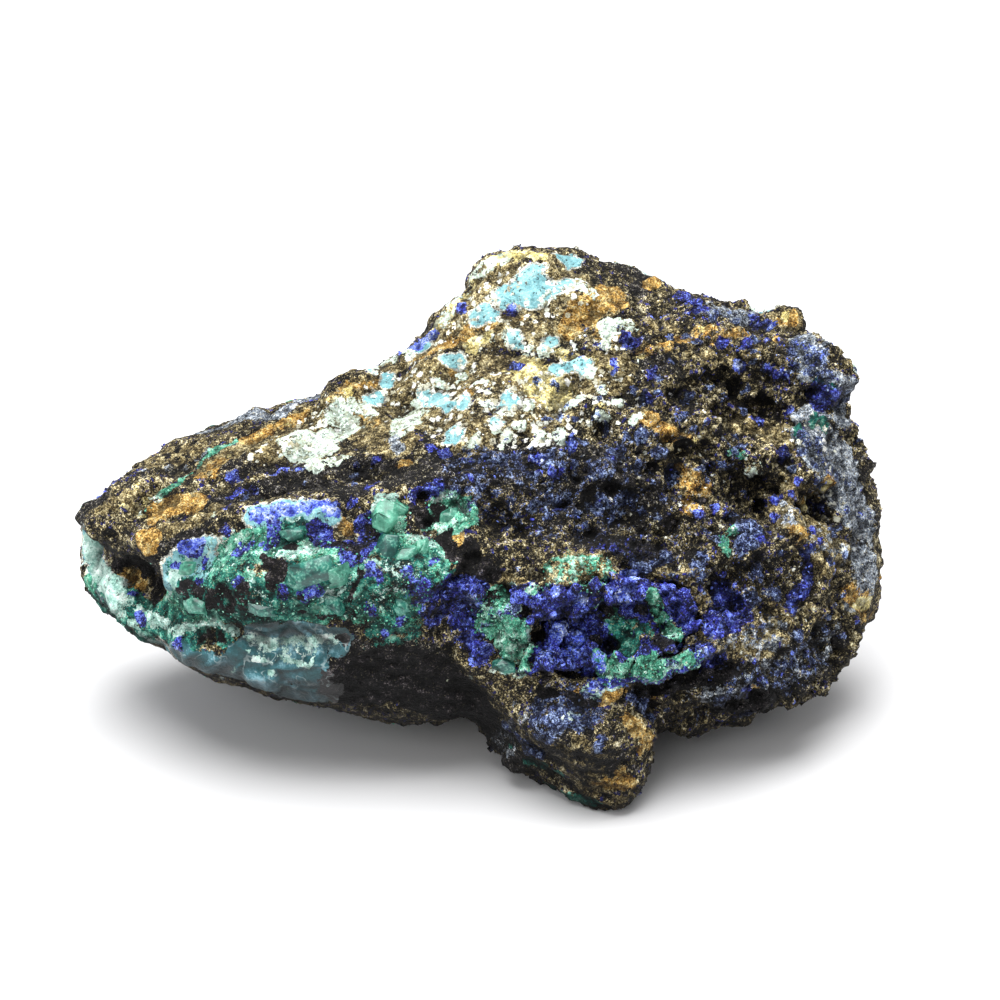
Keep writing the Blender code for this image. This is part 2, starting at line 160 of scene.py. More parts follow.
GOSSAN = Palette((
    (0.00, (9, 8, 8)), (0.28, (25, 23, 20)), (0.44, (58, 51, 38)),
    (0.58, (112, 99, 64)), (0.74, (171, 156, 108)), (1.00, (240, 231, 198)),
))
PALETTES: dict[Layer, Palette] = {
    layer: Palette(tuple(zip((0.0, low, high, 1.0), tones))) for layer, low, high, *tones in (
        (Layer.DARK, 0.5, 0.78, (5, 5, 6), (20, 19, 20), (50, 47, 47), (140, 136, 132)),
        (Layer.TAN, 0.34, 0.62, (20, 16, 11), (81, 69, 42), (151, 134, 90), (232, 219, 172)),
        (Layer.SLATE_AND_SHEEN, 0.36, 0.66, (20, 22, 27), (86, 93, 103), (148, 158, 170), (228, 234, 238)),
        (Layer.OCHRE, 0.3, 0.62, (44, 28, 12), (139, 100, 41), (205, 165, 89), (247, 228, 165)),
        (Layer.CREAM, 0.3, 0.6, (136, 112, 60), (210, 190, 112), (244, 230, 162), (255, 252, 220)),
        (Layer.CRUST, 0.27, 0.58, (84, 78, 58), (166, 170, 146), (208, 226, 212), (242, 254, 248)),
        (Layer.TURQUOISE, 0.4, 0.7, (80, 132, 138), (124, 180, 188), (160, 212, 216), (222, 244, 242)),
        (Layer.DEEP, 0.4, 0.7, (7, 24, 23), (18, 76, 70), (43, 130, 113), (134, 198, 176)),
        (Layer.MINT, 0.3, 0.62, (18, 44, 36), (56, 129, 105), (102, 185, 155), (204, 240, 224)),
        (Layer.FROST, 0.35, 0.65, (66, 104, 96), (132, 174, 162), (188, 218, 208), (242, 251, 246)),
        (Layer.WAXY, 0.38, 0.68, (10, 32, 34), (23, 70, 74), (47, 99, 108), (140, 184, 196)),
        (Layer.CHALK, 0.3, 0.6, (150, 142, 112), (204, 202, 180), (234, 238, 224), (255, 255, 250)),
        (Layer.INDIGO, 0.36, 0.66, (6, 7, 13), (30, 36, 66), (64, 80, 130), (166, 186, 224)),
        (Layer.AZURITE, 0.36, 0.66, (5, 5, 15), (26, 25, 80), (52, 58, 172), (124, 148, 238)),
        (Layer.BRIGHT, 0.34, 0.66, (30, 38, 140), (70, 90, 204), (136, 160, 236), (226, 234, 252)),
        (Layer.SHADE_AND_BLACK, 0.5, 0.8, (3, 3, 4), (11, 10, 12), (34, 30, 34), (104, 98, 98)),
    )
}


@dataclass(frozen=True)
class Patch:
    """A place where one mineral shows, along a path under points of the picture or in spots there."""

    place: str
    radius: float
    strength: float
    pixels: tuple[Pixel, ...]
    joined: bool


Row = tuple[str, float, float, *tuple[Pixel, ...]]
PATHS: dict[Layer, tuple[Row, ...]] = {Layer.DARK: (
    ("left nub", 2.0, 0.85, (80, 518), (92, 503), (104, 498)),
    ("strip under slab", 1.7, 0.95, (145, 552), (160, 548), (178, 540), (205, 520)),
    ("brow over blue band", 2.6, 1.3, (205, 512), (240, 495), (300, 487), (350, 488), (400, 478), (452, 478)),
    ("crease above brow", 2.2, 0.8, (215, 466), (250, 470), (300, 470), (350, 466), (400, 455)),
    ("ground of dark band", 4.4, 0.75, (440, 462), (520, 462), (600, 462), (640, 500), (560, 500)),
    # This row and the next are painted shade under the lobe and under the front.
    ("dark foot of lobe", 5.0, 1.3, (345, 670), (400, 662), (440, 690), (462, 712)),
    ("under front", 2.0, 0.8, (400, 650), (430, 655), (455, 680)),
    ("top of peak", 2.0, 0.95, (608, 262), (624, 268), (645, 276), (640, 290)),
    ("dark of right top", 2.4, 0.6, (640, 345), (668, 362), (625, 360)),
    # Painted shade on the foot's back.
    ("foot's dark back", 3.4, 0.85, (470, 700), (490, 730), (512, 760)),
    ("foot's cracks", 1.1, 0.7, (520, 752), (560, 760), (596, 766), (632, 770)),
    ("right edge", 2.6, 0.6, (864, 470), (872, 520), (868, 560)),
    # This row and the next are painted shade on the low flank and the foot.
    ("lower flank", 5.0, 0.7, (830, 650), (780, 670), (730, 690)),
    ("foot", 4.8, 0.6, (560, 742), (600, 768)),
    ("left crest", 3.6, 0.36, (112, 486), (145, 470), (185, 452)),
    ("seam beside cavity", 1.1, 0.9, (152, 560), (160, 580), (158, 600)),
    ("round violet band", 2.6, 0.78, (590, 542), (650, 556)),
), Layer.TAN: (
    ("left nose", 2.2, 0.7, (98, 512), (118, 500), (135, 500)),
    ("left crest", 3.4, 0.6, (120, 474), (160, 458), (190, 448)),
    ("ledge under slab", 1.8, 0.85, (165, 528), (195, 516), (218, 508)),
    ("olive slope", 2.6, 0.8, (205, 470), (225, 458), (245, 448)),
    ("slope of lobe", 3.4, 1.05, (270, 448), (290, 430), (340, 410), (370, 432), (400, 440)),
    ("crest line", 1.6, 0.85, (300, 412), (340, 395), (385, 374), (430, 350)),
    ("crest band", 1.8, 0.7, (385, 372), (420, 352), (455, 336), (500, 330)),
    ("slope under peak", 4.2, 0.88, (380, 405), (440, 382), (500, 372), (560, 385), (610, 370)),
    ("lower slope", 3.4, 0.85, (400, 425), (440, 412), (470, 435), (520, 415), (560, 415)),
    ("peak", 4.4, 0.75, (470, 310), (500, 330), (560, 320), (600, 300), (560, 275)),
    ("left flank of peak", 3.4, 0.95, (440, 335), (470, 300), (500, 270)),
    ("right top", 4.4, 0.55, (620, 330), (660, 335), (700, 345), (740, 345)),
    ("shoulder point", 2.2, 0.95, (780, 318), (798, 320)),
    ("right middle", 4.4, 0.45, (650, 400), (690, 430), (680, 470)),
    ("shelf under vugs", 2.6, 0.8, (742, 425), (765, 432), (785, 440)),
    ("round nodule", 1.1, 0.95, (693, 440)),
    ("right chest", 3.4, 0.6, (680, 580), (672, 600), (700, 610), (740, 650)),
    ("flank", 4.4, 1.2, (790, 500), (815, 530), (835, 560)),
    ("face above lip", 3.4, 0.7, (720, 645), (760, 640), (780, 620)),
    ("lower flank", 3.4, 0.42, (800, 615), (830, 605), (850, 590)),
    ("olive of foot", 2.4, 0.45, (560, 745), (600, 760), (560, 770)),
    ("foot end", 2.2, 0.6, (600, 780), (612, 800), (590, 790)),
    ("ground of sage", 3.0, 0.78, (560, 568), (580, 562), (603, 572)),
    ("arch under brow", 1.4, 0.7, (455, 575), (470, 578), (500, 582), (528, 583)),
# Partly the rock's own grey-blue and partly a painted sheen: the crest edge along the top, and the rim on the
# right, made lighter where it faces away from the light.
), Layer.SLATE_AND_SHEEN: (
    ("crest edge", 1.7, 1.0, (198, 432), (230, 424), (280, 410), (318, 396)),
    ("crest face", 1.4, 0.35, (140, 472), (170, 470), (205, 452)),
    ("right bump", 2.6, 0.9, (838, 378), (848, 395), (842, 410)),
    ("far flank", 3.0, 0.46, (790, 515), (820, 540), (838, 560)),
    ("lower chest", 3.0, 0.44, (718, 640), (760, 650), (780, 630)),
    ("rim", 4.0, 1.3, (812, 430), (828, 455), (842, 480), (855, 505)),
    ("lower rim", 2.8, 0.7, (858, 520), (866, 560), (860, 600)),
    ("streaked slab", 2.4, 0.85, (800, 335), (812, 350), (815, 368)),
    ("lower flank", 3.0, 0.42, (835, 640), (800, 662), (765, 690)),
    ("back of foot", 2.6, 0.42, (482, 722), (505, 745), (530, 705)),
    ("shoulder bumps", 1.8, 0.7, (708, 306), (730, 312), (750, 318)),
    ("belly", 3.0, 0.5, (700, 690), (740, 685)),
    ("lower slope", 1.4, 0.9, (392, 438), (400, 446)),
    ("pale grit of front", 1.6, 0.5, (292, 552), (312, 552), (375, 575), (405, 580)),
), Layer.OCHRE: (
    ("left nodule", 2.6, 1.3, (142, 538)),
    ("slab", 2.3, 1.1, (157, 515), (175, 507), (194, 499)),
    ("stain above slab", 1.9, 0.6, (204, 474), (220, 462)),
    ("seam", 1.4, 1.0, (246, 440), (268, 430), (298, 414)),
    ("crest streak", 1.0, 0.75, (330, 398), (380, 378), (430, 353), (458, 336), (492, 327)),
    ("rust under peak", 3.0, 1.0, (572, 324), (592, 305), (612, 298)),
    ("right shoulder", 1.8, 0.95, (652, 281), (668, 285)),
    ("veins of right top", 1.4, 0.55, (600, 332), (645, 350), (690, 336), (740, 335)),
    ("rusty middle", 1.6, 0.8, (648, 420), (668, 428), (680, 436)),
    ("rust of middle", 2.2, 0.65, (684, 476), (700, 490), (692, 505)),
    ("yellow flank", 1.8, 0.75, (806, 500), (820, 492), (830, 482)),
    ("lower flank stains", 1.6, 0.8, (850, 590), (862, 600), (864, 616)),
    ("flank nodule", 1.8, 0.6, (792, 530), (806, 540)),
    ("foot stain", 1.5, 0.75, (628, 722), (650, 738), (640, 748)),
    ("foot streaks", 1.1, 0.7, (600, 780), (626, 788), (618, 770)),
    ("chip under lip", 1.3, 0.9, (604, 697), (622, 690)),
    ("underside streak", 1.1, 0.35, (362, 698), (400, 702), (440, 692)),
    ("chip under brow", 1.3, 1.0, (458, 541)),
    ("cavity floor", 2.0, 0.8, (126, 576), (138, 582)),
    ("gap in blue band", 1.5, 0.8, (338, 522), (350, 530)),
    ("shoulder point", 1.7, 0.75, (782, 318), (796, 318)),
), Layer.CREAM: (
    ("yellow stain", 3.0, 1.4, (530, 368), (543, 376), (552, 388)),
    ("yellow chips", 1.3, 0.95, (472, 343), (488, 341)),
    ("yellow by islands", 1.2, 0.6, (560, 355), (592, 362)),
    ("flank's edge", 1.3, 0.55, (404, 354), (430, 333), (452, 308), (478, 280)),
    ("edge of peak", 1.8, 1.0, (490, 260), (510, 253), (540, 252)),
    ("yellow flank", 1.5, 0.75, (806, 502), (822, 490)),
    ("lower flank chip", 1.3, 0.8, (860, 600), (866, 606)),
    ("shoulder point", 1.3, 0.8, (784, 317)),
), Layer.CRUST: (
    ("sage field", 3.4, 1.05, (300, 442), (318, 448), (340, 430), (345, 418)),
    ("its bright rim", 1.3, 0.95, (286, 440), (300, 455), (318, 466), (340, 458)),
    ("above sage field", 1.8, 0.65, (325, 412), (350, 405), (365, 412)),
    ("middle field", 2.2, 0.7, (402, 430), (412, 410), (430, 405)),
    ("ring of nodule", 1.0, 0.9, (604, 345), (606, 328), (618, 322), (632, 328)),
    ("collar of peak", 1.5, 0.45, (500, 345), (520, 342), (545, 352), (585, 345)),
    ("white trail of peak", 1.3, 0.8, (545, 300), (560, 288), (580, 282), (592, 292)),
    ("left flank of peak", 2.0, 0.55, (440, 320), (460, 295), (480, 272)),
    ("yellow edge", 1.5, 0.45, (484, 262), (500, 257)),
    ("white of trail", 1.1, 0.7, (372, 368), (390, 360), (415, 352)),
    ("ridge in wax", 0.5, 0.9, (186, 623), (212, 628), (240, 634), (258, 642), (285, 648), (304, 650)),
    ("streak under front", 0.5, 0.5, (452, 676), (500, 672), (555, 678)),
    ("spot on foot", 1.1, 0.7, (566, 722), (576, 718)),
    ("lip's edge", 0.8, 0.9, (582, 688), (610, 686), (635, 680)),
    ("white nodule", 1.0, 0.8, (752, 468), (745, 475)),
), Layer.TURQUOISE: (
    ("great island", 2.5, 1.0, (512, 294), (524, 284), (536, 292)),
    ("island by it", 1.7, 1.0, (564, 262), (573, 262)),
    ("island below", 1.5, 0.95, (476, 320), (490, 314)),
    ("edge of dome", 0.9, 0.9, (512, 606), (524, 616), (532, 634), (530, 650)),
    ("small island", 1.3, 0.8, (536, 268)),
    ("trail from island", 1.2, 0.7, (550, 290), (568, 284)),
    ("pair of islands", 1.3, 0.9, (428, 396), (436, 404), (445, 408)),
    ("trail", 1.0, 0.6, (370, 370), (398, 352), (430, 345)),
    ("left end face", 2.6, 1.0, (94, 540), (98, 565), (110, 592)),
    ("front patch", 2.9, 1.25, (174, 584), (180, 566), (202, 556), (200, 576)),
    ("right of it", 1.5, 0.4, (228, 548), (215, 560), (236, 538)),
    ("wash of blue band", 2.2, 1.1, (256, 519), (290, 516), (325, 516)),
    ("pale edge of wax", 1.6, 0.4, (150, 640), (175, 655), (205, 662)),
), Layer.DEEP: (
    ("ground of front left", 3.2, 0.5, (180, 570), (210, 575), (240, 560), (280, 545)),
    ("ground of front", 4.4, 0.78, (190, 600), (250, 605), (310, 600), (360, 590)),
    ("ground of front right", 4.2, 0.55, (380, 560), (410, 600), (390, 630), (440, 560)),
    ("front plate", 2.6, 1.0, (294, 574), (318, 576), (344, 572)),
    ("upper plate", 1.6, 1.0, (286, 536), (304, 534)),
    ("plates right of band", 2.4, 0.9, (380, 548), (398, 556), (412, 560)),
    ("green band below", 1.8, 0.8, (215, 618), (260, 616), (300, 618)),
    ("dimple in wax", 1.7, 1.0, (198, 638), (222, 637)),
    ("left end flank", 2.2, 0.8, (96, 600), (118, 620), (150, 640)),
    ("left end's underside", 2.8, 1.0, (128, 600), (148, 612), (172, 628), (190, 640)),
    ("left end's specks", 1.4, 0.6, (100, 580), (112, 604), (126, 616)),
    ("green of pocket", 2.2, 0.85, (616, 626), (640, 634), (626, 650)),
    ("foot's stripe", 1.2, 0.9, (550, 786), (575, 797), (598, 803)),
    ("foot's green streak", 0.9, 0.7, (508, 744), (532, 764), (560, 772)),
), Layer.MINT: (
    ("vein", 0.62, 0.85, (150, 510), (160, 497), (178, 484), (192, 470), (200, 458), (222, 446), (236, 440)),
    ("sage", 2.8, 0.48, (560, 566), (580, 562), (603, 574), (590, 580)),
    ("left end", 2.2, 0.8, (92, 580), (104, 602), (125, 624)),
    ("left end's underside", 1.7, 0.7, (146, 606), (168, 616), (180, 634)),
    ("upper front", 3.0, 0.9, (222, 566), (240, 548), (280, 545), (340, 560)),
    ("front", 3.8, 0.9, (180, 606), (220, 600), (280, 605), (350, 600), (400, 610)),
    ("plate edges", 1.4, 0.75, (326, 560), (345, 566), (352, 590), (340, 606)),
    ("middle of front", 2.2, 0.45, (240, 575), (262, 590), (300, 606)),
    ("plates under brow", 2.0, 0.85, (382, 520), (396, 512), (394, 526)),
    ("right plates", 3.4, 0.85, (390, 545), (425, 555), (430, 580)),
    ("cluster at brow end", 2.0, 1.0, (432, 520), (446, 505), (462, 505), (464, 520), (450, 526)),
    ("speckled plate", 2.2, 0.6, (378, 590), (400, 585), (425, 582)),
    ("dome", 3.9, 1.7, (492, 618), (504, 628), (514, 642)),
    ("below dome", 1.7, 0.75, (508, 655), (524, 664)),
    ("lip", 2.2, 1.1, (605, 660), (612, 674), (640, 670), (672, 665), (694, 662)),
    ("pocket floor", 1.7, 0.8, (612, 620), (630, 640)),
    ("right of pocket", 1.6, 1.0, (658, 598), (662, 618), (672, 634)),
    ("foot stripe", 0.8, 0.6, (556, 790), (580, 799)),
    ("rosette", 1.2, 1.0, (227, 578)),
), Layer.WAXY: (
    ("pale wax", 3.0, 0.95, (262, 634), (300, 632), (336, 640)),
    ("waxy keel", 3.4, 1.0, (215, 668), (250, 682), (290, 692), (322, 690)),
    ("waxy middle", 3.4, 1.0, (240, 660), (290, 664), (312, 668)),
    ("waxy left", 2.4, 0.9, (150, 645), (180, 652), (205, 665)),
    ("glassy left end", 1.8, 0.55, (94, 556), (98, 585), (110, 602)),
), Layer.AZURITE: (
    ("band's drops", 1.3, 0.9, (268, 524), (276, 536), (272, 545)),
    ("band's bend", 1.6, 1.0, (312, 534), (328, 542), (348, 545)),
    ("band's right end", 1.7, 1.0, (368, 524), (374, 540), (362, 556), (346, 556)),
    ("left patch", 1.2, 0.8, (186, 548), (198, 546)),
    ("front nugget", 1.6, 1.0, (304, 594), (318, 588)),
    ("brow blue", 1.3, 0.8, (420, 495), (440, 491), (412, 500)),
    ("right cluster", 2.2, 0.56, (410, 576), (428, 600), (436, 616)),
    ("pocket left", 2.6, 1.0, (450, 592), (460, 614), (470, 590)),
    ("pocket upper", 3.0, 1.0, (548, 598), (560, 600), (590, 606), (562, 620)),
    ("pocket lower", 2.8, 1.0, (552, 650), (575, 640), (600, 650), (570, 662)),
    ("pocket left foot", 2.2, 0.8, (470, 640), (478, 655)),
    ("pocket right", 2.4, 1.0, (640, 602), (620, 594), (642, 618)),
    ("lip edge", 0.9, 0.9, (590, 684), (630, 678), (665, 676), (700, 664)),
    ("blue end", 2.0, 1.0, (694, 650), (706, 654), (714, 660)),
    ("over slot", 0.8, 0.9, (660, 638), (684, 638), (700, 644)),
    ("hollow of chest", 2.8, 0.9, (722, 596), (738, 612), (716, 620)),
    ("vein", 0.9, 1.0, (812, 548), (812, 572), (800, 592), (790, 610)),
    ("violet band", 1.6, 0.5, (596, 546), (620, 548), (646, 550)),
    ("right shoulder", 1.9, 0.9, (682, 296), (692, 300), (700, 306)),
    ("shoulder blue", 1.5, 0.6, (755, 322), (764, 326)),
    ("far flank", 2.0, 1.0, (816, 392), (828, 398), (822, 405)),
    ("peak's blue", 1.1, 0.95, (510, 308), (514, 314)),
), Layer.BRIGHT: (
    ("band", 1.5, 0.85, (256, 516), (280, 514), (300, 512), (332, 508)),
    ("left flake", 1.1, 0.9, (180, 546), (199, 543)),
    ("trail to peak", 1.1, 0.85, (402, 352), (420, 344), (432, 336)),
    ("trail's foot", 0.7, 0.7, (378, 366), (395, 356)),
    ("lip's lights", 0.7, 0.6, (590, 686), (625, 680), (650, 678)),
    ("streaked slab", 1.4, 0.35, (803, 340), (815, 355)),
    # The flank streak is partly bright azurite and partly painted light on the rim.
    ("flank streak", 1.1, 0.35, (812, 448), (832, 470)),
), Layer.FROST: (
    ("left end face", 2.5, 0.85, (94, 545), (99, 565), (110, 585), (120, 602)),
    ("left end's underside", 1.0, 0.7, (140, 612), (158, 622), (176, 634)),
    ("left front mass", 1.6, 0.5, (172, 574), (188, 562), (204, 560)),
    ("ridge over dimple", 0.8, 0.9, (178, 626), (200, 625), (222, 628), (240, 633)),
    ("pale ridge of wax", 1.2, 0.6, (250, 637), (285, 644), (320, 641), (340, 641)),
    ("fold of wax", 0.42, 0.8, (238, 660), (257, 654), (283, 660), (304, 667), (315, 653)),
    ("second fold", 0.4, 0.75, (222, 681), (236, 667), (244, 652)),
    ("third fold", 0.42, 0.7, (272, 667), (284, 686), (288, 697)),
    ("smear of wax", 1.6, 0.3, (262, 646), (290, 652), (318, 646)),
    ("strip by plate", 1.3, 0.75, (284, 556), (296, 552), (312, 550)),
    ("plate's far side", 1.2, 0.5, (336, 566), (344, 580), (338, 596)),
    ("rims of right plates", 0.8, 0.85, (417, 533), (430, 540), (438, 553)),
    ("grey band of front", 1.3, 0.45, (364, 572), (390, 570), (420, 574)),
    ("brow rims", 0.8, 0.75, (372, 510), (384, 504), (398, 498), (410, 494)),
    ("cluster's rims", 0.9, 0.62, (436, 500), (455, 496), (466, 510)),
    ("band's lower edge", 0.8, 0.55, (240, 528), (252, 536), (290, 527), (320, 524)),
    ("bloom of front", 8.0, 0.27, (200, 590), (260, 570), (330, 580), (400, 570)),
    ("bloom of dome", 3.4, 0.2, (496, 622), (512, 640)),
    ("rim of dome", 0.8, 0.85, (522, 606), (532, 624), (534, 642), (526, 656)),
    ("left end's keel", 1.2, 0.6, (130, 625), (150, 640), (170, 652)),
    ("lip's white edge", 1.15, 1.0, (582, 688), (610, 686), (640, 680), (680, 668)),
    ("under dome", 0.8, 0.65, (500, 668), (520, 674)),
    ("rim of pocket", 0.7, 0.6, (505, 588), (530, 584)),
    ("foot's pale spot", 0.9, 0.85, (570, 720), (578, 716)),
), Layer.CHALK: (
    ("top slope", 5.0, 0.46, (400, 400), (450, 385), (500, 395), (550, 395), (600, 385)),
    ("sage field", 3.6, 0.5, (300, 445), (325, 432), (345, 415)),
    ("lower slope", 2.8, 0.5, (440, 428), (490, 432), (540, 428), (580, 424)),
    ("collar", 2.6, 0.34, (480, 345), (520, 345), (560, 350), (610, 345)),
    ("peak", 3.0, 0.44, (500, 320), (540, 310), (580, 290)),
    ("left flank of peak", 3.0, 0.46, (455, 325), (480, 305), (505, 280)),
    ("lobe", 3.0, 0.36, (260, 450), (290, 430), (330, 405)),
    ("crest", 2.0, 0.35, (365, 385), (405, 365), (445, 340)),
    ("right of slope", 3.0, 0.25, (620, 400), (640, 380), (640, 420)),
    ("specks of right", 14.0, 0.16, (640, 440), (700, 500), (740, 600), (800, 560)),
    # The rim's white specks stand partly for pale grains and partly for painted glints on its slab.
    ("specks of rim", 5.0, 0.32, (810, 440), (830, 470), (836, 530)),
), Layer.INDIGO: (
    ("foot crown", 3.2, 0.6, (548, 706), (570, 700), (590, 712), (545, 726)),
    ("foot side", 1.8, 0.85, (535, 748), (640, 698), (648, 708)),
    ("blue-black field", 5.0, 0.4, (470, 480), (510, 495), (560, 515), (600, 520)),
    ("blue-black brow", 2.4, 0.5, (470, 455), (520, 458), (560, 455), (600, 470)),
    ("violet edge", 1.6, 0.7, (640, 575), (660, 560)),
    ("right rim", 2.0, 0.25, (862, 500), (868, 530), (852, 478)),
    ("right of shoulder", 1.6, 0.5, (712, 308), (735, 318)),
    ("flank streak", 1.8, 0.5, (802, 436), (818, 456), (838, 480)),
    ("shoulder's slab", 2.4, 0.5, (800, 345), (818, 365), (836, 400)),
    ("above hollow", 2.2, 0.8, (735, 520), (755, 525), (748, 545)),
    ("blue of underside", 3.0, 0.4, (740, 690), (790, 672), (820, 650)),
    ("blue of middle", 8.0, 0.28, (640, 470), (660, 530), (620, 500)),
    ("blue of chest", 8.0, 0.25, (720, 560), (760, 600), (700, 610)),
    ("shoulder's flank", 5.0, 0.25, (700, 320), (760, 345), (800, 370)),
# Mostly painted shade in cavities, pits, gaps, slots and under the brow, the lip, the lobe and the foot; the
# veins and the purple black of the front are the rock's own black.
), Layer.SHADE_AND_BLACK: (
    ("cavity at left end", 1.6, 0.75, (120, 564), (134, 560), (146, 568)),
    ("shadow of brow end", 2.0, 0.9, (466, 552), (480, 566), (490, 575)),
    ("purple black of front", 2.0, 0.6, (190, 590), (220, 598), (248, 604)),
    ("ledge under lip", 1.7, 0.85, (640, 688), (680, 682), (730, 672)),
    ("cave of right underside", 2.6, 1.0, (718, 712), (740, 706), (766, 700)),
    ("shade of bend", 1.1, 0.8, (336, 541), (350, 552), (366, 546), (372, 532)),
    ("shade of violet band", 2.4, 0.62, (596, 540), (648, 552)),
    ("pit beside plate", 1.6, 0.95, (276, 570), (272, 580)),
    ("vein by plate", 0.55, 0.9, (262, 552), (270, 572), (286, 594), (304, 600)),
    ("vein behind plate", 0.5, 0.85, (352, 556), (360, 580), (352, 606), (362, 622)),
    ("low vein", 0.6, 0.75, (300, 612), (332, 616), (356, 628)),
    ("left vein", 0.6, 0.8, (176, 588), (200, 606), (232, 616)),
    ("gap by chip", 1.2, 0.95, (445, 538), (448, 550)),
    ("gap of brow", 1.0, 0.95, (410, 506), (420, 512), (424, 524)),
    ("dark of dimple", 1.1, 0.9, (204, 637), (218, 638)),
    ("slot over lip", 1.1, 0.95, (664, 644), (680, 646), (694, 648)),
    ("shade under lobe", 5.0, 1.3, (350, 684), (400, 676), (440, 692), (470, 712)),
    ("foot's shaded side", 3.6, 0.36, (480, 722), (500, 750), (530, 775)),
    ("foot's shaded end", 3.0, 0.3, (580, 775), (610, 795)),
    ("gap over foot", 0.9, 0.8, (560, 694), (540, 690), (592, 700)),
), Layer.STRATA: (
    ("foot", 6.0, 0.9, (520, 735), (560, 760), (610, 790), (640, 740)),
    ("under lobe", 4.0, 0.8, (350, 672), (400, 680), (440, 690)),
    ("left crest", 3.0, 0.7, (120, 490), (160, 475), (200, 455), (240, 440)),
    ("crest streaks", 2.5, 0.7, (330, 398), (400, 370), (450, 345), (500, 330), (600, 338)),
    ("ledge under slab", 2.0, 0.6, (150, 540), (190, 520), (240, 500)),
), Layer.ROUGH: (
    ("right body", 18.0, 1.0, (620, 430), (700, 370), (760, 450), (700, 520), (760, 600), (800, 430)),
    ("dark band", 7.0, 1.0, (480, 480), (520, 500)),
    ("blue hollow", 8.0, 1.0, (480, 610), (560, 630), (620, 620)),
    ("brow", 3.0, 0.8, (230, 492), (300, 478), (380, 470)),
    ("lower right", 12.0, 1.0, (700, 690), (760, 690), (820, 650)),
)}
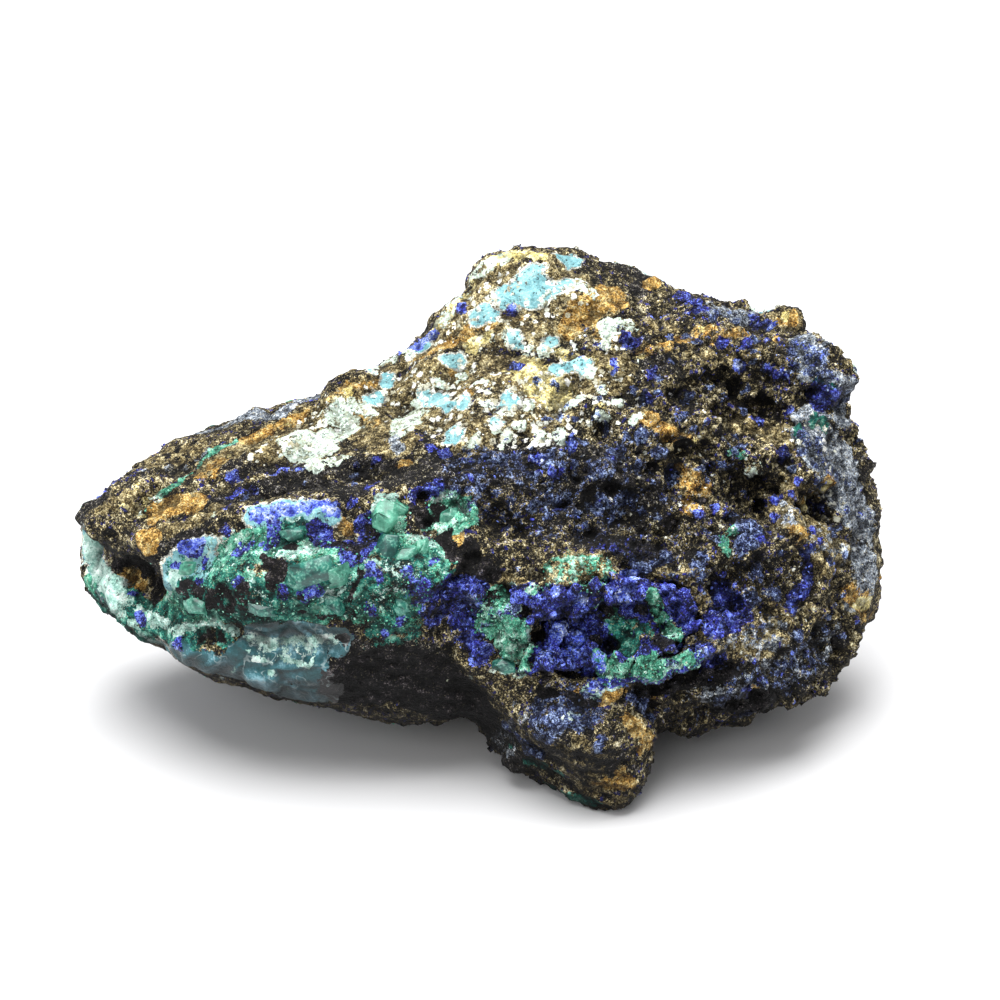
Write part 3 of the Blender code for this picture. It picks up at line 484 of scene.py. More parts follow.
SPOTS: dict[Layer, tuple[Row, ...]] = {Layer.OCHRE: (
    ("rusty specks", 1.2, 0.8, (405, 465), (362, 416), (372, 424), (522, 320), (455, 372), (398, 430),
     (720, 340), (748, 335), (772, 340), (470, 390), (536, 398), (870, 620), (655, 700), (575, 690),
     (300, 418)),
), Layer.CREAM: (
    ("chips of slab", 0.9, 0.7, (140, 516), (148, 500), (126, 508), (134, 488), (230, 455)),
    ("chips of slope", 1.0, 0.7, (290, 424), (345, 392), (396, 420), (420, 425), (470, 372), (505, 372),
     (600, 405), (610, 368), (640, 352), (694, 440), (706, 330)),
    ("foot's pale chip", 1.0, 0.6, (570, 722), (650, 700)),
), Layer.CRUST: (
    ("bright flakes", 1.2, 0.95, (452, 432), (472, 440), (492, 402), (500, 412), (497, 432), (508, 440),
     (520, 425), (530, 404), (512, 390), (543, 430), (556, 434), (570, 402), (578, 400), (603, 392),
     (614, 400), (636, 418), (604, 414), (440, 385), (462, 378), (485, 380), (590, 372), (610, 330),
     (628, 326)),
    ("bits of slab", 0.7, 0.7, (152, 498), (160, 505), (140, 515), (214, 512)),
), Layer.TURQUOISE: (
    ("middle islands", 1.6, 0.95, (390, 381), (376, 396), (456, 361), (440, 398), (430, 404), (497, 424),
     (462, 400), (452, 434), (510, 398)),
    ("right islands", 1.4, 0.85, (519, 342), (546, 343), (572, 362), (584, 368), (558, 368)),
), Layer.DEEP: (
    ("teal of far flank", 1.2, 0.9, (818, 382), (832, 384), (815, 420), (824, 424), (797, 431)),
), Layer.MINT: (
    ("pocket brow", 1.0, 0.7, (532, 588), (545, 586), (600, 600), (612, 604)),
    ("spots of right", 1.1, 0.85, (742, 456), (736, 454), (732, 530), (722, 540), (728, 552)),
), Layer.AZURITE: (
    ("band's left spots", 1.0, 0.9, (240, 548), (250, 545), (205, 560), (176, 566), (224, 534)),
    ("front spots", 1.1, 0.95, (281, 592), (372, 612), (342, 578), (178, 645), (133, 594), (138, 618),
     (200, 582), (240, 586)),
    ("spots by it", 1.1, 0.9, (432, 562), (370, 576), (378, 580), (404, 620), (385, 634), (430, 640)),
    ("right vugs", 1.2, 1.0, (736, 371), (770, 368), (783, 366), (722, 340), (744, 346), (705, 372),
     (652, 398), (682, 410), (726, 436), (652, 372), (782, 453), (800, 483), (773, 502), (822, 508),
     (762, 540), (808, 552), (814, 500), (786, 412), (758, 420)),
    ("top spots", 1.35, 0.95, (460, 308), (517, 366), (624, 338), (634, 340), (570, 436), (541, 455)),
    ("spots in crease", 1.3, 0.8, (232, 476), (252, 490), (240, 494), (228, 506), (282, 470), (355, 496),
     (275, 473), (372, 486), (448, 450), (432, 446)),
), Layer.BRIGHT: (
    ("band's middle", 0.9, 0.6, (270, 530), (262, 545), (245, 542)),
    ("nuggets", 1.1, 0.75, (306, 592), (316, 587), (571, 435), (512, 306), (516, 366), (814, 552), (793, 605),
     (704, 652), (784, 366), (736, 371), (540, 454), (680, 410), (822, 506), (770, 326)),
    ("pocket lights", 1.5, 0.78, (577, 637), (560, 629), (582, 599), (570, 652), (555, 588), (548, 657),
     (470, 602), (600, 664), (622, 598), (632, 576)),
    ("right cluster", 1.0, 0.4, (416, 590), (426, 604), (430, 620)),
), Layer.FROST: (
    ("white of front left", 1.1, 0.8, (172, 580), (168, 592), (186, 556)),
), Layer.INDIGO: (
    ("foot spots", 1.1, 0.7, (505, 728), (596, 750), (520, 740), (602, 742)),
    ("right nodules", 1.5, 0.8, (666, 454), (702, 466), (644, 396), (714, 470), (670, 476), (618, 450),
     (640, 436), (606, 506), (622, 500)),
    ("lower specks", 1.3, 0.7, (720, 700), (748, 712), (790, 690), (812, 660), (745, 730), (700, 712)),
    ("chest spots", 1.6, 0.7, (752, 600), (700, 560), (640, 560), (760, 575)),
# Painted shade in the holes, the vugs, the pocket's gaps and beside the cluster, with black specks of the
# front.
), Layer.SHADE_AND_BLACK: (
    ("holes by plates", 1.2, 1.0, (422, 498), (428, 520), (436, 512), (450, 545), (462, 560)),
    ("specks in front", 1.2, 0.9, (262, 566), (275, 576), (198, 594), (212, 600), (232, 604), (245, 592),
     (222, 588), (184, 588), (160, 600), (290, 548), (345, 640), (208, 637)),
    ("cluster's shade", 1.1, 0.55, (440, 588), (424, 612), (412, 590), (400, 600)),
    ("deep vugs", 1.2, 0.7, (732, 390), (746, 404), (770, 410), (754, 484), (776, 487), (818, 512)),
    ("small vugs", 1.3, 0.75, (590, 500), (655, 470), (680, 440), (700, 500), (640, 450), (720, 430),
     (612, 486), (735, 520), (762, 560), (690, 552), (668, 520), (712, 575)),
    ("pocket's black", 1.3, 0.85, (488, 600), (541, 636), (530, 614), (612, 646), (604, 613), (640, 609),
     (592, 640), (657, 640), (566, 612), (545, 674)),
)}


LATTICE_EDGES = np.array(
    [(1, 1, 0), (-1, 1, 0), (1, -1, 0), (-1, -1, 0), (1, 0, 1), (-1, 0, 1),
     (1, 0, -1), (-1, 0, -1), (0, 1, 1), (0, -1, 1), (0, 1, -1), (0, -1, -1)], float)
SEED_KEY, CHANNEL_KEY = 0x9E3779B1, 0x85EBCA6B
AXIS_KEYS = (0x8DA6B343, 0xD8163841, 0xCB1AB31F)
FIRST_MIX, LAST_MIX = np.uint32(0x2C1B3C6D), np.uint32(0x297A2D39)
WORD = 1 << 32


@dataclass(frozen=True)
class Lattice:
    """Noise on points in space that comes out the same each time."""

    seed: int
    stride: float = 0.37
    gain: float = 1.4

    def chance(self, cells: Array, channel: int = 0) -> Array:
        """Draws a number for each cell.

        Args:
            cells: whole-number cells, one a row.
            channel: which of a cell's numbers.
        Returns:
            Numbers from 0 to 1.
        """
        mixed = np.full(len(cells), (self.seed * SEED_KEY + channel * CHANNEL_KEY) % WORD, np.uint32)
        for axis, key in enumerate(AXIS_KEYS):
            mixed ^= cells[:, axis].astype(np.int64).astype(np.uint32) * np.uint32(key)
            mixed ^= mixed >> np.uint32(15)
            mixed *= FIRST_MIX
        mixed ^= mixed >> np.uint32(12)
        mixed *= LAST_MIX
        mixed ^= mixed >> np.uint32(15)
        return mixed / float(WORD)

    def wave(self, points: Array, period: float) -> Array:
        """Returns smooth noise from about -1 to 1 whose bumps are a period apart."""
        scaled = points / period + self.stride * self.seed
        base = np.floor(scaled)
        inside = scaled - base
        fade = inside ** 3 * (inside * (inside * 6 - 15) + 10)
        total = np.zeros(len(points))
        for corner in product((0, 1), repeat=3):
            slopes = LATTICE_EDGES[(self.chance(base + corner) * len(LATTICE_EDGES)).astype(int)]
            share = np.prod(np.where(corner, fade, 1 - fade), axis=1)
            total += share * np.einsum("ij,ij->i", slopes, inside - corner)
        return total * self.gain

    def rough(self, points: Array, period: float, octaves: int = 4) -> Array:
        """Returns noise with finer noise added at each octave."""
        return sum(self.wave(points, period / 2 ** k) / 2 ** k for k in range(octaves))

    def drift(self, points: Array, period: float, reach: float) -> Array:
        """Returns the points, each moved up to a reach in a direction that wanders."""
        moves = [Lattice(self.seed + k).wave(points, period) for k in (11, 12, 13)]
        return points + reach * np.stack(moves, axis=1)

    def cells(self, points: Array, period: float) -> tuple[Array, Array, Array]:
        """Splits space into irregular cells about a period apart.

        Args:
            points: places, one a row.
            period: the cells' spacing.
        Returns:
            The distance to the nearest cell's heart and to the next one's, in periods, and a number
            from 0 to 1 that belongs to the nearest cell.
        """
        scaled = points / period
        base = np.floor(scaled)
        near = np.full(len(points), 9.0)
        following = near.copy()
        owner = np.zeros(len(points))
        for step in product((-1, 0, 1), repeat=3):
            cell = base + step
            heart = cell + np.stack([self.chance(cell, channel) for channel in (1, 2, 3)], axis=1)
            reach = np.linalg.norm(heart - scaled, axis=1)
            closer = reach < near
            following = np.where(closer, near, np.minimum(following, reach))
            owner = np.where(closer, self.chance(cell, 4), owner)
            near = np.where(closer, reach, near)
        return near, following, owner


def unit(values: Array) -> Array:
    """Returns the values, held between 0 and 1."""
    return np.clip(values, 0.0, 1.0)


def eased(values: Array, low: float, high: float) -> Array:
    """Returns 0 at low, 1 at high and a smooth step between them."""
    share = unit((values - low) / (high - low))
    return share * share * (3 - 2 * share)


def nudged(points: Array) -> Array:
    """Returns the points, each moved a little, so that no lump comes out round."""
    return Lattice(Seed.NUDGE).drift(points, 2.2, 0.5)


@dataclass(frozen=True)
class Viewpoint:
    """The camera: a long lens that looks down at the rock's front."""

    lens: float = 150.0
    sensor: float = 36.0
    distance: float = 623.0
    elevation: float = 28.0
    target: Triple = (2.8, 0.0, 33.7)
    clip: Span = (0.01, 20.0)

    @property
    def forward(self) -> Vector:
        """The way the camera looks."""
        return Vector((0.0, cos(radians(self.elevation)), -sin(radians(self.elevation))))

    @property
    def place(self) -> Vector:
        """Where the camera stands."""
        return Vector(self.target) - self.forward * self.distance

    def ray(self, pixel: Pixel) -> Vector:
        """Returns the way from the camera through a point of the picture."""
        up = Vector((0.0, sin(radians(self.elevation)), cos(radians(self.elevation))))
        side, rise = pixel[0] - PICTURE / 2, PICTURE / 2 - pixel[1]
        per_pixel = self.sensor / self.lens / PICTURE
        return (self.forward + (Vector((1.0, 0.0, 0.0)) * side + up * rise) * per_pixel).normalized()

    def build(self) -> Object:
        """Makes the camera and gives it to the scene."""
        data = bpy.data.cameras.new("studio_camera")
        data.lens, data.sensor_width = self.lens, self.sensor
        data.clip_start, data.clip_end = self.clip
        camera = linked("studio_camera", data)
        camera.location = self.place * MM
        camera.rotation_euler = (radians(90 - self.elevation), 0.0, 0.0)
        bpy.context.scene.camera = camera
        return camera


@dataclass
class Painter:
    """Lays the minerals: patches where the camera looks, and wandering fields where it doesn't."""

    view: Viewpoint
    surface: BVHTree
    paths: list[tuple[Layer, Patch, Array]] = field(default_factory=list)
    warp: Lattice = Lattice(Seed.WARP)
    warps: tuple[Span, ...] = ((5.0, 0.9), (1.6, 0.45))
    fade: Span = (0.62, 1.22)
    margin: float = 1.4
    hidden: Span = (-0.12, 0.14)

    def __post_init__(self) -> None:
        """Finds where each patch's points of the picture meet the surface."""
        eye = self.view.place
        books = [(layer, rows, book is PATHS) for book in (PATHS, SPOTS) for layer, rows in book.items()]
        for layer, rows, joined in books:
            for place, radius, strength, *pixels in rows:
                patch = Patch(place, radius, strength, tuple(pixels), joined)
                met = [self.surface.ray_cast(eye, self.view.ray(pixel))[0] for pixel in patch.pixels]
                found = np.array([point for point in met if point is not None], float)
                if len(found) < len(patch.pixels):
                    LOG.info("patch %r: %d points miss", patch.place, len(patch.pixels) - len(found))
                if len(found):
                    self.paths.append((layer, patch, found))

    def masks(self, points: Array, normals: Array) -> Masks:
        """Works out how much of each layer lies at each point.

        Args:
            points: places on the surface.
            normals: the ways out of it.
        Returns:
            For each layer, a number from 0 to 1 a point.
        """
        laid = {layer: np.zeros(len(points)) for layer in Layer}
        warped = points
        for period, reach in self.warps:
            warped = self.warp.drift(warped, period, reach)
        for layer, patch, path in self.paths:
            middle = (path.min(0) + path.max(0)) / 2
            half = (path.max(0) - path.min(0)) / 2 + patch.radius * self.margin
            close = np.flatnonzero(np.all(np.abs(warped - middle) < half, axis=1))
            if len(close):
                reach = self._distance(warped[close], path, patch.joined) / patch.radius
                share = patch.strength * (1.0 - eased(reach, *self.fade))
                laid[layer][close] = np.maximum(laid[layer][close], share)
        self._add_unseen(laid, points, normals)
        return laid

    @staticmethod
    def _distance(points: Array, path: Array, joined: bool) -> Array:
        """Returns how far each point is from a path, or from its nearest spot if it isn't joined."""
        if len(path) == 1 or not joined:
            return np.min([np.linalg.norm(points - spot, axis=1) for spot in path], axis=0)
        best = np.full(len(points), np.inf)
        for start, end in zip(path[:-1], path[1:]):
            along = end - start
            share = unit((points - start) @ along / max(along @ along, 1e-9))
            best = np.minimum(best, np.linalg.norm(points - start - share[:, None] * along, axis=1))
        return best

    def _add_unseen(self, laid: Masks, points: Array, normals: Array) -> None:
        """Lays the same minerals by rule on the back, the underside and the far ends."""
        unseen = eased(normals @ np.array(self.view.forward), *self.hidden)
        x, _, z = points.T
        fields = {
            Layer.TAN: (21, 15.0, 0.02, 0.45, 0.75, 1.0),
            Layer.SLATE_AND_SHEEN: (22, 17.0, 0.05, 0.45, 0.8, 1.0),
            Layer.DARK: (23, 13.0, 0.05, 0.5, 0.9, 1.0),
            Layer.OCHRE: (24, 9.0, 0.28, 0.6, 0.9, 1.0),
            Layer.AZURITE: (25, 8.0, 0.25, 0.55, 0.9, 1.0),
            Layer.MINT: (26, 10.0, 0.1, 0.5, 0.85, eased(-x, -12.0, 22.0)),
            Layer.DEEP: (27, 11.0, 0.1, 0.5, 0.85, eased(-x, 0.0, 30.0)),
            Layer.WAXY: (28, 22.0, -0.35, 0.15, 1.0, eased(-x, 12.0, 30.0) * eased(-z, -26.0, -12.0)),
            Layer.CRUST: (29, 9.0, 0.05, 0.4, 0.8, eased(z, 40.0, 56.0)),
            Layer.TURQUOISE: (30, 8.0, 0.25, 0.5, 0.9, eased(z, 46.0, 58.0)),
            Layer.ROUGH: (31, 26.0, -0.6, 0.1, 1.0, eased(x, -20.0, 12.0)),
        }
        for layer, (seed, period, low, high, strength, region) in fields.items():
            share = eased(Lattice(seed).rough(points, period, 3), low, high) * strength * region * unseen
            laid[layer] = np.maximum(laid[layer], share)


def linked(name: str, data: bpy.types.ID) -> Object:
    """Returns a mesh, a light or a camera as an object of the scene."""
    made = bpy.data.objects.new(name, data)
    bpy.context.scene.collection.objects.link(made)
    return made


def mesh_of(shape: BMesh, name: str) -> Mesh:
    """Returns a shape as a mesh, and lets the shape go."""
    mesh = bpy.data.meshes.new(name)
    shape.to_mesh(mesh)
    shape.free()
    return mesh


def sliced(shape: BMesh, place: Vector, way: Vector) -> None:
    """Cuts off what lies beyond a plane, and closes the cut."""
    kept = bmesh.ops.bisect_plane(shape, geom=shape.verts[:] + shape.edges[:] + shape.faces[:],
                                  plane_co=place, plane_no=way, clear_outer=True)
    rim = [part for part in kept["geom_cut"] if isinstance(part, bmesh.types.BMEdge)]
    bmesh.ops.contextual_create(shape, geom=rim)


def faced(shape: BMesh) -> None:
    """Makes a shape's faces triangles that look outwards."""
    bmesh.ops.triangulate(shape, faces=shape.faces)
    bmesh.ops.recalc_face_normals(shape, faces=shape.faces)


def merged_copy(node: Object, name: str) -> Object:
    """Copies a solid of the frame, with its loose triangles joined.

    Args:
        node: the solid, which stays as it is.
        name: the copy's name.
    Returns:
        The copy.
    """
    shape = bmesh.new()
    shape.from_mesh(node.data)
    bmesh.ops.remove_doubles(shape, verts=shape.verts, dist=0.001 * MM)
    return linked(name, mesh_of(shape, name))


def remeshed(piece: Object, voxel: float, smoothing: int) -> None:
    """Gives a piece even, small faces.

    Args:
        piece: the object, whose mesh is replaced.
        voxel: the faces' size.
        smoothing: how many times the result is smoothed.
    """
    modifier = piece.modifiers.new("even faces", "REMESH")
    modifier.mode, modifier.voxel_size = "VOXEL", voxel * MM
    if smoothing:
        soft = piece.modifiers.new("soft facets", "SMOOTH")
        soft.factor, soft.iterations = 0.5, smoothing
    shown = piece.evaluated_get(bpy.context.evaluated_depsgraph_get())
    mesh = bpy.data.meshes.new_from_object(shown)
    piece.modifiers.clear()
    old, piece.data = piece.data, mesh
    bpy.data.meshes.remove(old)
    mesh.name = piece.name


def read(parts: bpy.types.bpy_prop_collection, name: str, width: int, kind: type = float) -> Array:
    """Returns one property of a mesh's parts, a part a row."""
    flat = np.empty(len(parts) * width, kind)
    parts.foreach_get(name, flat)
    return flat.reshape(-1, width)


def points_of(mesh: Mesh) -> Array:
    """Returns a mesh's points in millimetres."""
    return read(mesh.vertices, "co", 3) / MM


def normals_of(mesh: Mesh) -> Array:
    """Returns the way out of the surface at each of a mesh's points."""
    return read(mesh.vertex_normals, "vector", 3)


def sunken(mesh: Mesh, rounds: int) -> Array:
    """Measures how low each point lies.

    Args:
        mesh: the mesh.
        rounds: how many times the surface it is measured against is smoothed.
    Returns:
        How far each point lies under the surface round it, in millimetres.
    """
    ends = read(mesh.edges, "vertices", 2, np.int32)
    start, end = ends.T
    points = points_of(mesh)
    count = len(points)
    neighbours = np.bincount(ends.ravel(), minlength=count)[:, None]
    smooth = points.copy()
    for _ in range(rounds):
        gathered = [np.bincount(start, column[end], count) + np.bincount(end, column[start], count)
                    for column in smooth.T]
        smooth = 0.5 * smooth + 0.5 * np.stack(gathered, axis=1) / neighbours
    return np.einsum("ij,ij->i", smooth - points, normals_of(mesh))


def move_points(mesh: Mesh, points: Array) -> None:
    """Puts a mesh's points at new places, none of them below the table."""
    points[:, 2] = np.maximum(points[:, 2], 0.0)
    mesh.vertices.foreach_set("co", (points * MM).ravel())
    mesh.update()


# Where the painted shade falls: darker towards the bottom on the right, and on the undersides.
LOW_DARK_HEIGHT = (5.0, 22.0)
LOW_DARK_START = (-32.0, -16.0)
UNDERSIDE_SHADE = (-0.16, 0.42)



def painted_shade_below(points: Array, normals: Array) -> Array:
    """Returns each point's painted shade: on the undersides, and darker towards the bottom on the right."""
    x, _, z = points.T
    low = (1.0 - eased(z, *LOW_DARK_HEIGHT)) * eased(x, *LOW_DARK_START)
    return unit(0.95 * eased(-normals[:, 2], *UNDERSIDE_SHADE) + 0.45 * low)


def write_values(mesh: Mesh, name: str, values: Array) -> None:
    """Stores one number a point as an attribute."""
    mesh.attributes.new(name, "FLOAT", "POINT").data.foreach_set("value", values.astype(np.float32))


def write_masks(mesh: Mesh, masks: Masks) -> None:
    """Stores every mask of a mesh."""
    for layer, values in masks.items():
        write_values(mesh, layer.value, unit(values))


def arithmetic(operation: str, turned: bool = False) -> Callable[["Wire", "Wire | float"], "Wire"]:
    """Makes a method that puts a wire and another term through a Math node.

    Args:
        operation: the node's.
        turned: whether the other term comes first.
    Returns:
        The method.
    """
    def method(self: "Wire", other: "Wire | float") -> "Wire":
        """Returns the result as a wire."""
        terms = (other, self) if turned else (self, other)
        return self.shader.node("Math", {"operation": operation}, dict(enumerate(terms)))
    return method


class Wire:
    """One socket of a material, on which arithmetic adds Math nodes."""

    def __init__(self, shader: "Shader", socket: bpy.types.NodeSocket | None) -> None:
        """Keeps the socket and the shader it belongs to."""
        self.shader, self.socket = shader, socket

    __add__ = __radd__ = arithmetic("ADD")
    __sub__ = arithmetic("SUBTRACT")
    __rsub__ = arithmetic("SUBTRACT", turned=True)
    __mul__ = __rmul__ = arithmetic("MULTIPLY")

    def __abs__(self) -> "Wire":
        """Returns the size without its sign."""
        return self.shader.node("Math", {"operation": "ABSOLUTE"}, {0: self})

    def over(self, low: float, high: float) -> "Wire":
        """Returns 0 at low, 1 at high and a smooth step between them."""
        return self.shader.node("MapRange", {"interpolation_type": "SMOOTHSTEP"},
                                {"Value": self, "From Min": low, "From Max": high})


class Shader:
    """A material's nodes, added one after another."""

    def __init__(self, name: str) -> None:
        """Starts an empty material."""
        self.material = bpy.data.materials.new(name)
        self.material.use_nodes = True
        self.tree = self.material.node_tree
        self.tree.nodes.clear()

    def node(self, kind: str, settings: dict, inputs: dict, output: str | int = 0) -> Wire:
        """Adds a node.

        Args:
            kind: its type, without the leading ShaderNode.
            settings: its own settings; "stops" fills a colour ramp.
            inputs: values or wires by socket name or number.
            output: the socket that is returned.
        Returns:
            The output as a wire.
        """
        made = self.tree.nodes.new(f"ShaderNode{kind}")
        for name, value in settings.items():
            if name == "stops":
                self._fill_ramp(made.color_ramp, value)
            else:
                setattr(made, name, value)
        for name, value in inputs.items():
            if isinstance(value, Wire):
                self.tree.links.new(value.socket, made.inputs[name])
            else:
                made.inputs[name].default_value = value
        return Wire(self, made.outputs[output] if made.outputs else None)

    @staticmethod
    def _fill_ramp(ramp: bpy.types.ColorRamp, stops: list[tuple[float, tuple[float, ...]]]) -> None:
        """Puts these stops on a ramp that has two."""
        while len(ramp.elements) < len(stops):
            ramp.elements.new(0.5)
        for element, (place, colour) in zip(ramp.elements, stops):
            element.position, element.color = place, colour

    def place(self) -> Wire:
        """Returns the place on the object, in millimetres."""
        at = self.node("TexCoord", {}, {}, "Object")
        return self.node("VectorMath", {"operation": "SCALE"}, {0: at, "Scale": 1 / MM})

    def mask(self, name: str) -> Wire:
        """Returns a number that the mesh stores."""
        return self.node("Attribute", {"attribute_name": name}, {}, "Fac")

    def noise(self, at: Wire, period: float, detail: float = 3.0, output: str = "Fac") -> Wire:
        """Returns noise whose bumps are a period apart."""
        return self.node("TexNoise", {}, {"Vector": at, "Scale": 1 / period, "Detail": detail,
                                          "Roughness": 0.6}, output)

    def cells(self, at: Wire, period: float, output: str = "Distance") -> Wire:
        """Returns irregular cells that are a period apart."""
        return self.node("TexVoronoi", {}, {"Vector": at, "Scale": 1 / period}, output)

    def channel(self, colour: Wire, which: int) -> Wire:
        """Returns one of a colour's channels."""
        return self.node("SeparateColor", {}, {0: colour}, which)

    def signed(self, colour: Wire) -> list[Wire]:
        """Returns a coloured noise's three channels, each about 0."""
        return [self.channel(colour, which) - 0.5 for which in range(3)]

    def palette(self, palette: Palette, at: Wire) -> Wire:
        """Returns the colour that stands at a number from 0 to 1 of a palette."""
        return self.node("ValToRGB", {"stops": palette.ramp()}, {0: at})

    def mineral(self, layer: Layer, at: Wire) -> Wire:
        """Returns the colour that stands at a number from 0 to 1 of a mineral's palette."""
        return self.palette(PALETTES[layer], at)

    def bump(self, height: Wire, reach: float, strength: float = 1.0) -> Wire:
        """Returns the normals of a height from 0 to 1, which stands for a reach in millimetres."""
        inputs = {"Strength": strength, "Distance": reach * MM, "Height": height}
        return self.node("Bump", {}, inputs, "Normal")

    def blend(self, share: Wire | float, below: Wire | Shade, above: Wire | Shade, mode: str = "MIX") -> Wire:
        """Returns one colour laid over another by a share."""
        return self.node("Mix", {"data_type": "RGBA", "blend_type": mode},
                         {0: share, 6: below, 7: above}, 2)

    def finish(self, values: dict) -> Material:
        """Closes the material with a Principled surface of these values."""
        surface = self.node("BsdfPrincipled", {}, values)
        self.node("OutputMaterial", {}, {"Surface": surface})
        return self.material


class Wave(Enum):
    """The noises that fray a mineral's edge or vary its tone."""

    FIRST, SECOND, THIRD, CLOUDED_FIRST, CLOUDED_SECOND, WAX, CHIPS = range(7)


@dataclass(frozen=True)
class Edge:
    """How a mineral frays at its edge and how its tone varies, each a noise and its weight."""

    ragged: Wave
    spread: float
    shade: Wave
    gain: float
    dusty: float


EDGES: dict[Layer, Edge] = {layer: Edge(*row) for layer, *row in (
    (Layer.DARK, Wave.SECOND, 2.0, Wave.THIRD, 1.3, 2.0),
    (Layer.TAN, Wave.FIRST, 2.2, Wave.SECOND, 1.8, 2.2),
    (Layer.SLATE_AND_SHEEN, Wave.THIRD, 2.0, Wave.FIRST, 1.9, 2.2),
    (Layer.OCHRE, Wave.SECOND, 2.0, Wave.FIRST, 1.5, 1.9),
    (Layer.CREAM, Wave.FIRST, 2.0, Wave.THIRD, 1.4, 1.4),
    (Layer.CRUST, Wave.THIRD, 2.0, Wave.SECOND, 1.4, 1.3),
    (Layer.TURQUOISE, Wave.FIRST, 2.4, Wave.THIRD, 1.2, 0.8),
    (Layer.MINT, Wave.FIRST, 1.8, Wave.CLOUDED_SECOND, 2.0, 1.2),
    (Layer.DEEP, Wave.SECOND, 2.2, Wave.CLOUDED_FIRST, 1.9, 1.1),
    (Layer.WAXY, Wave.THIRD, 1.4, Wave.WAX, 1.0, 0.5),
    (Layer.FROST, Wave.THIRD, 2.0, Wave.SECOND, 1.7, 1.0),
    (Layer.CHALK, Wave.SECOND, 1.3, Wave.CHIPS, 0.9, 0.9),
    (Layer.INDIGO, Wave.FIRST, 2.0, Wave.SECOND, 2.1, 2.4),
    (Layer.AZURITE, Wave.SECOND, 1.9, Wave.THIRD, 2.3, 2.2),
    (Layer.BRIGHT, Wave.FIRST, 2.0, Wave.SECOND, 2.0, 1.6),
    (Layer.SHADE_AND_BLACK, Wave.THIRD, 1.6, Wave.FIRST, 1.5, 2.0),
)}



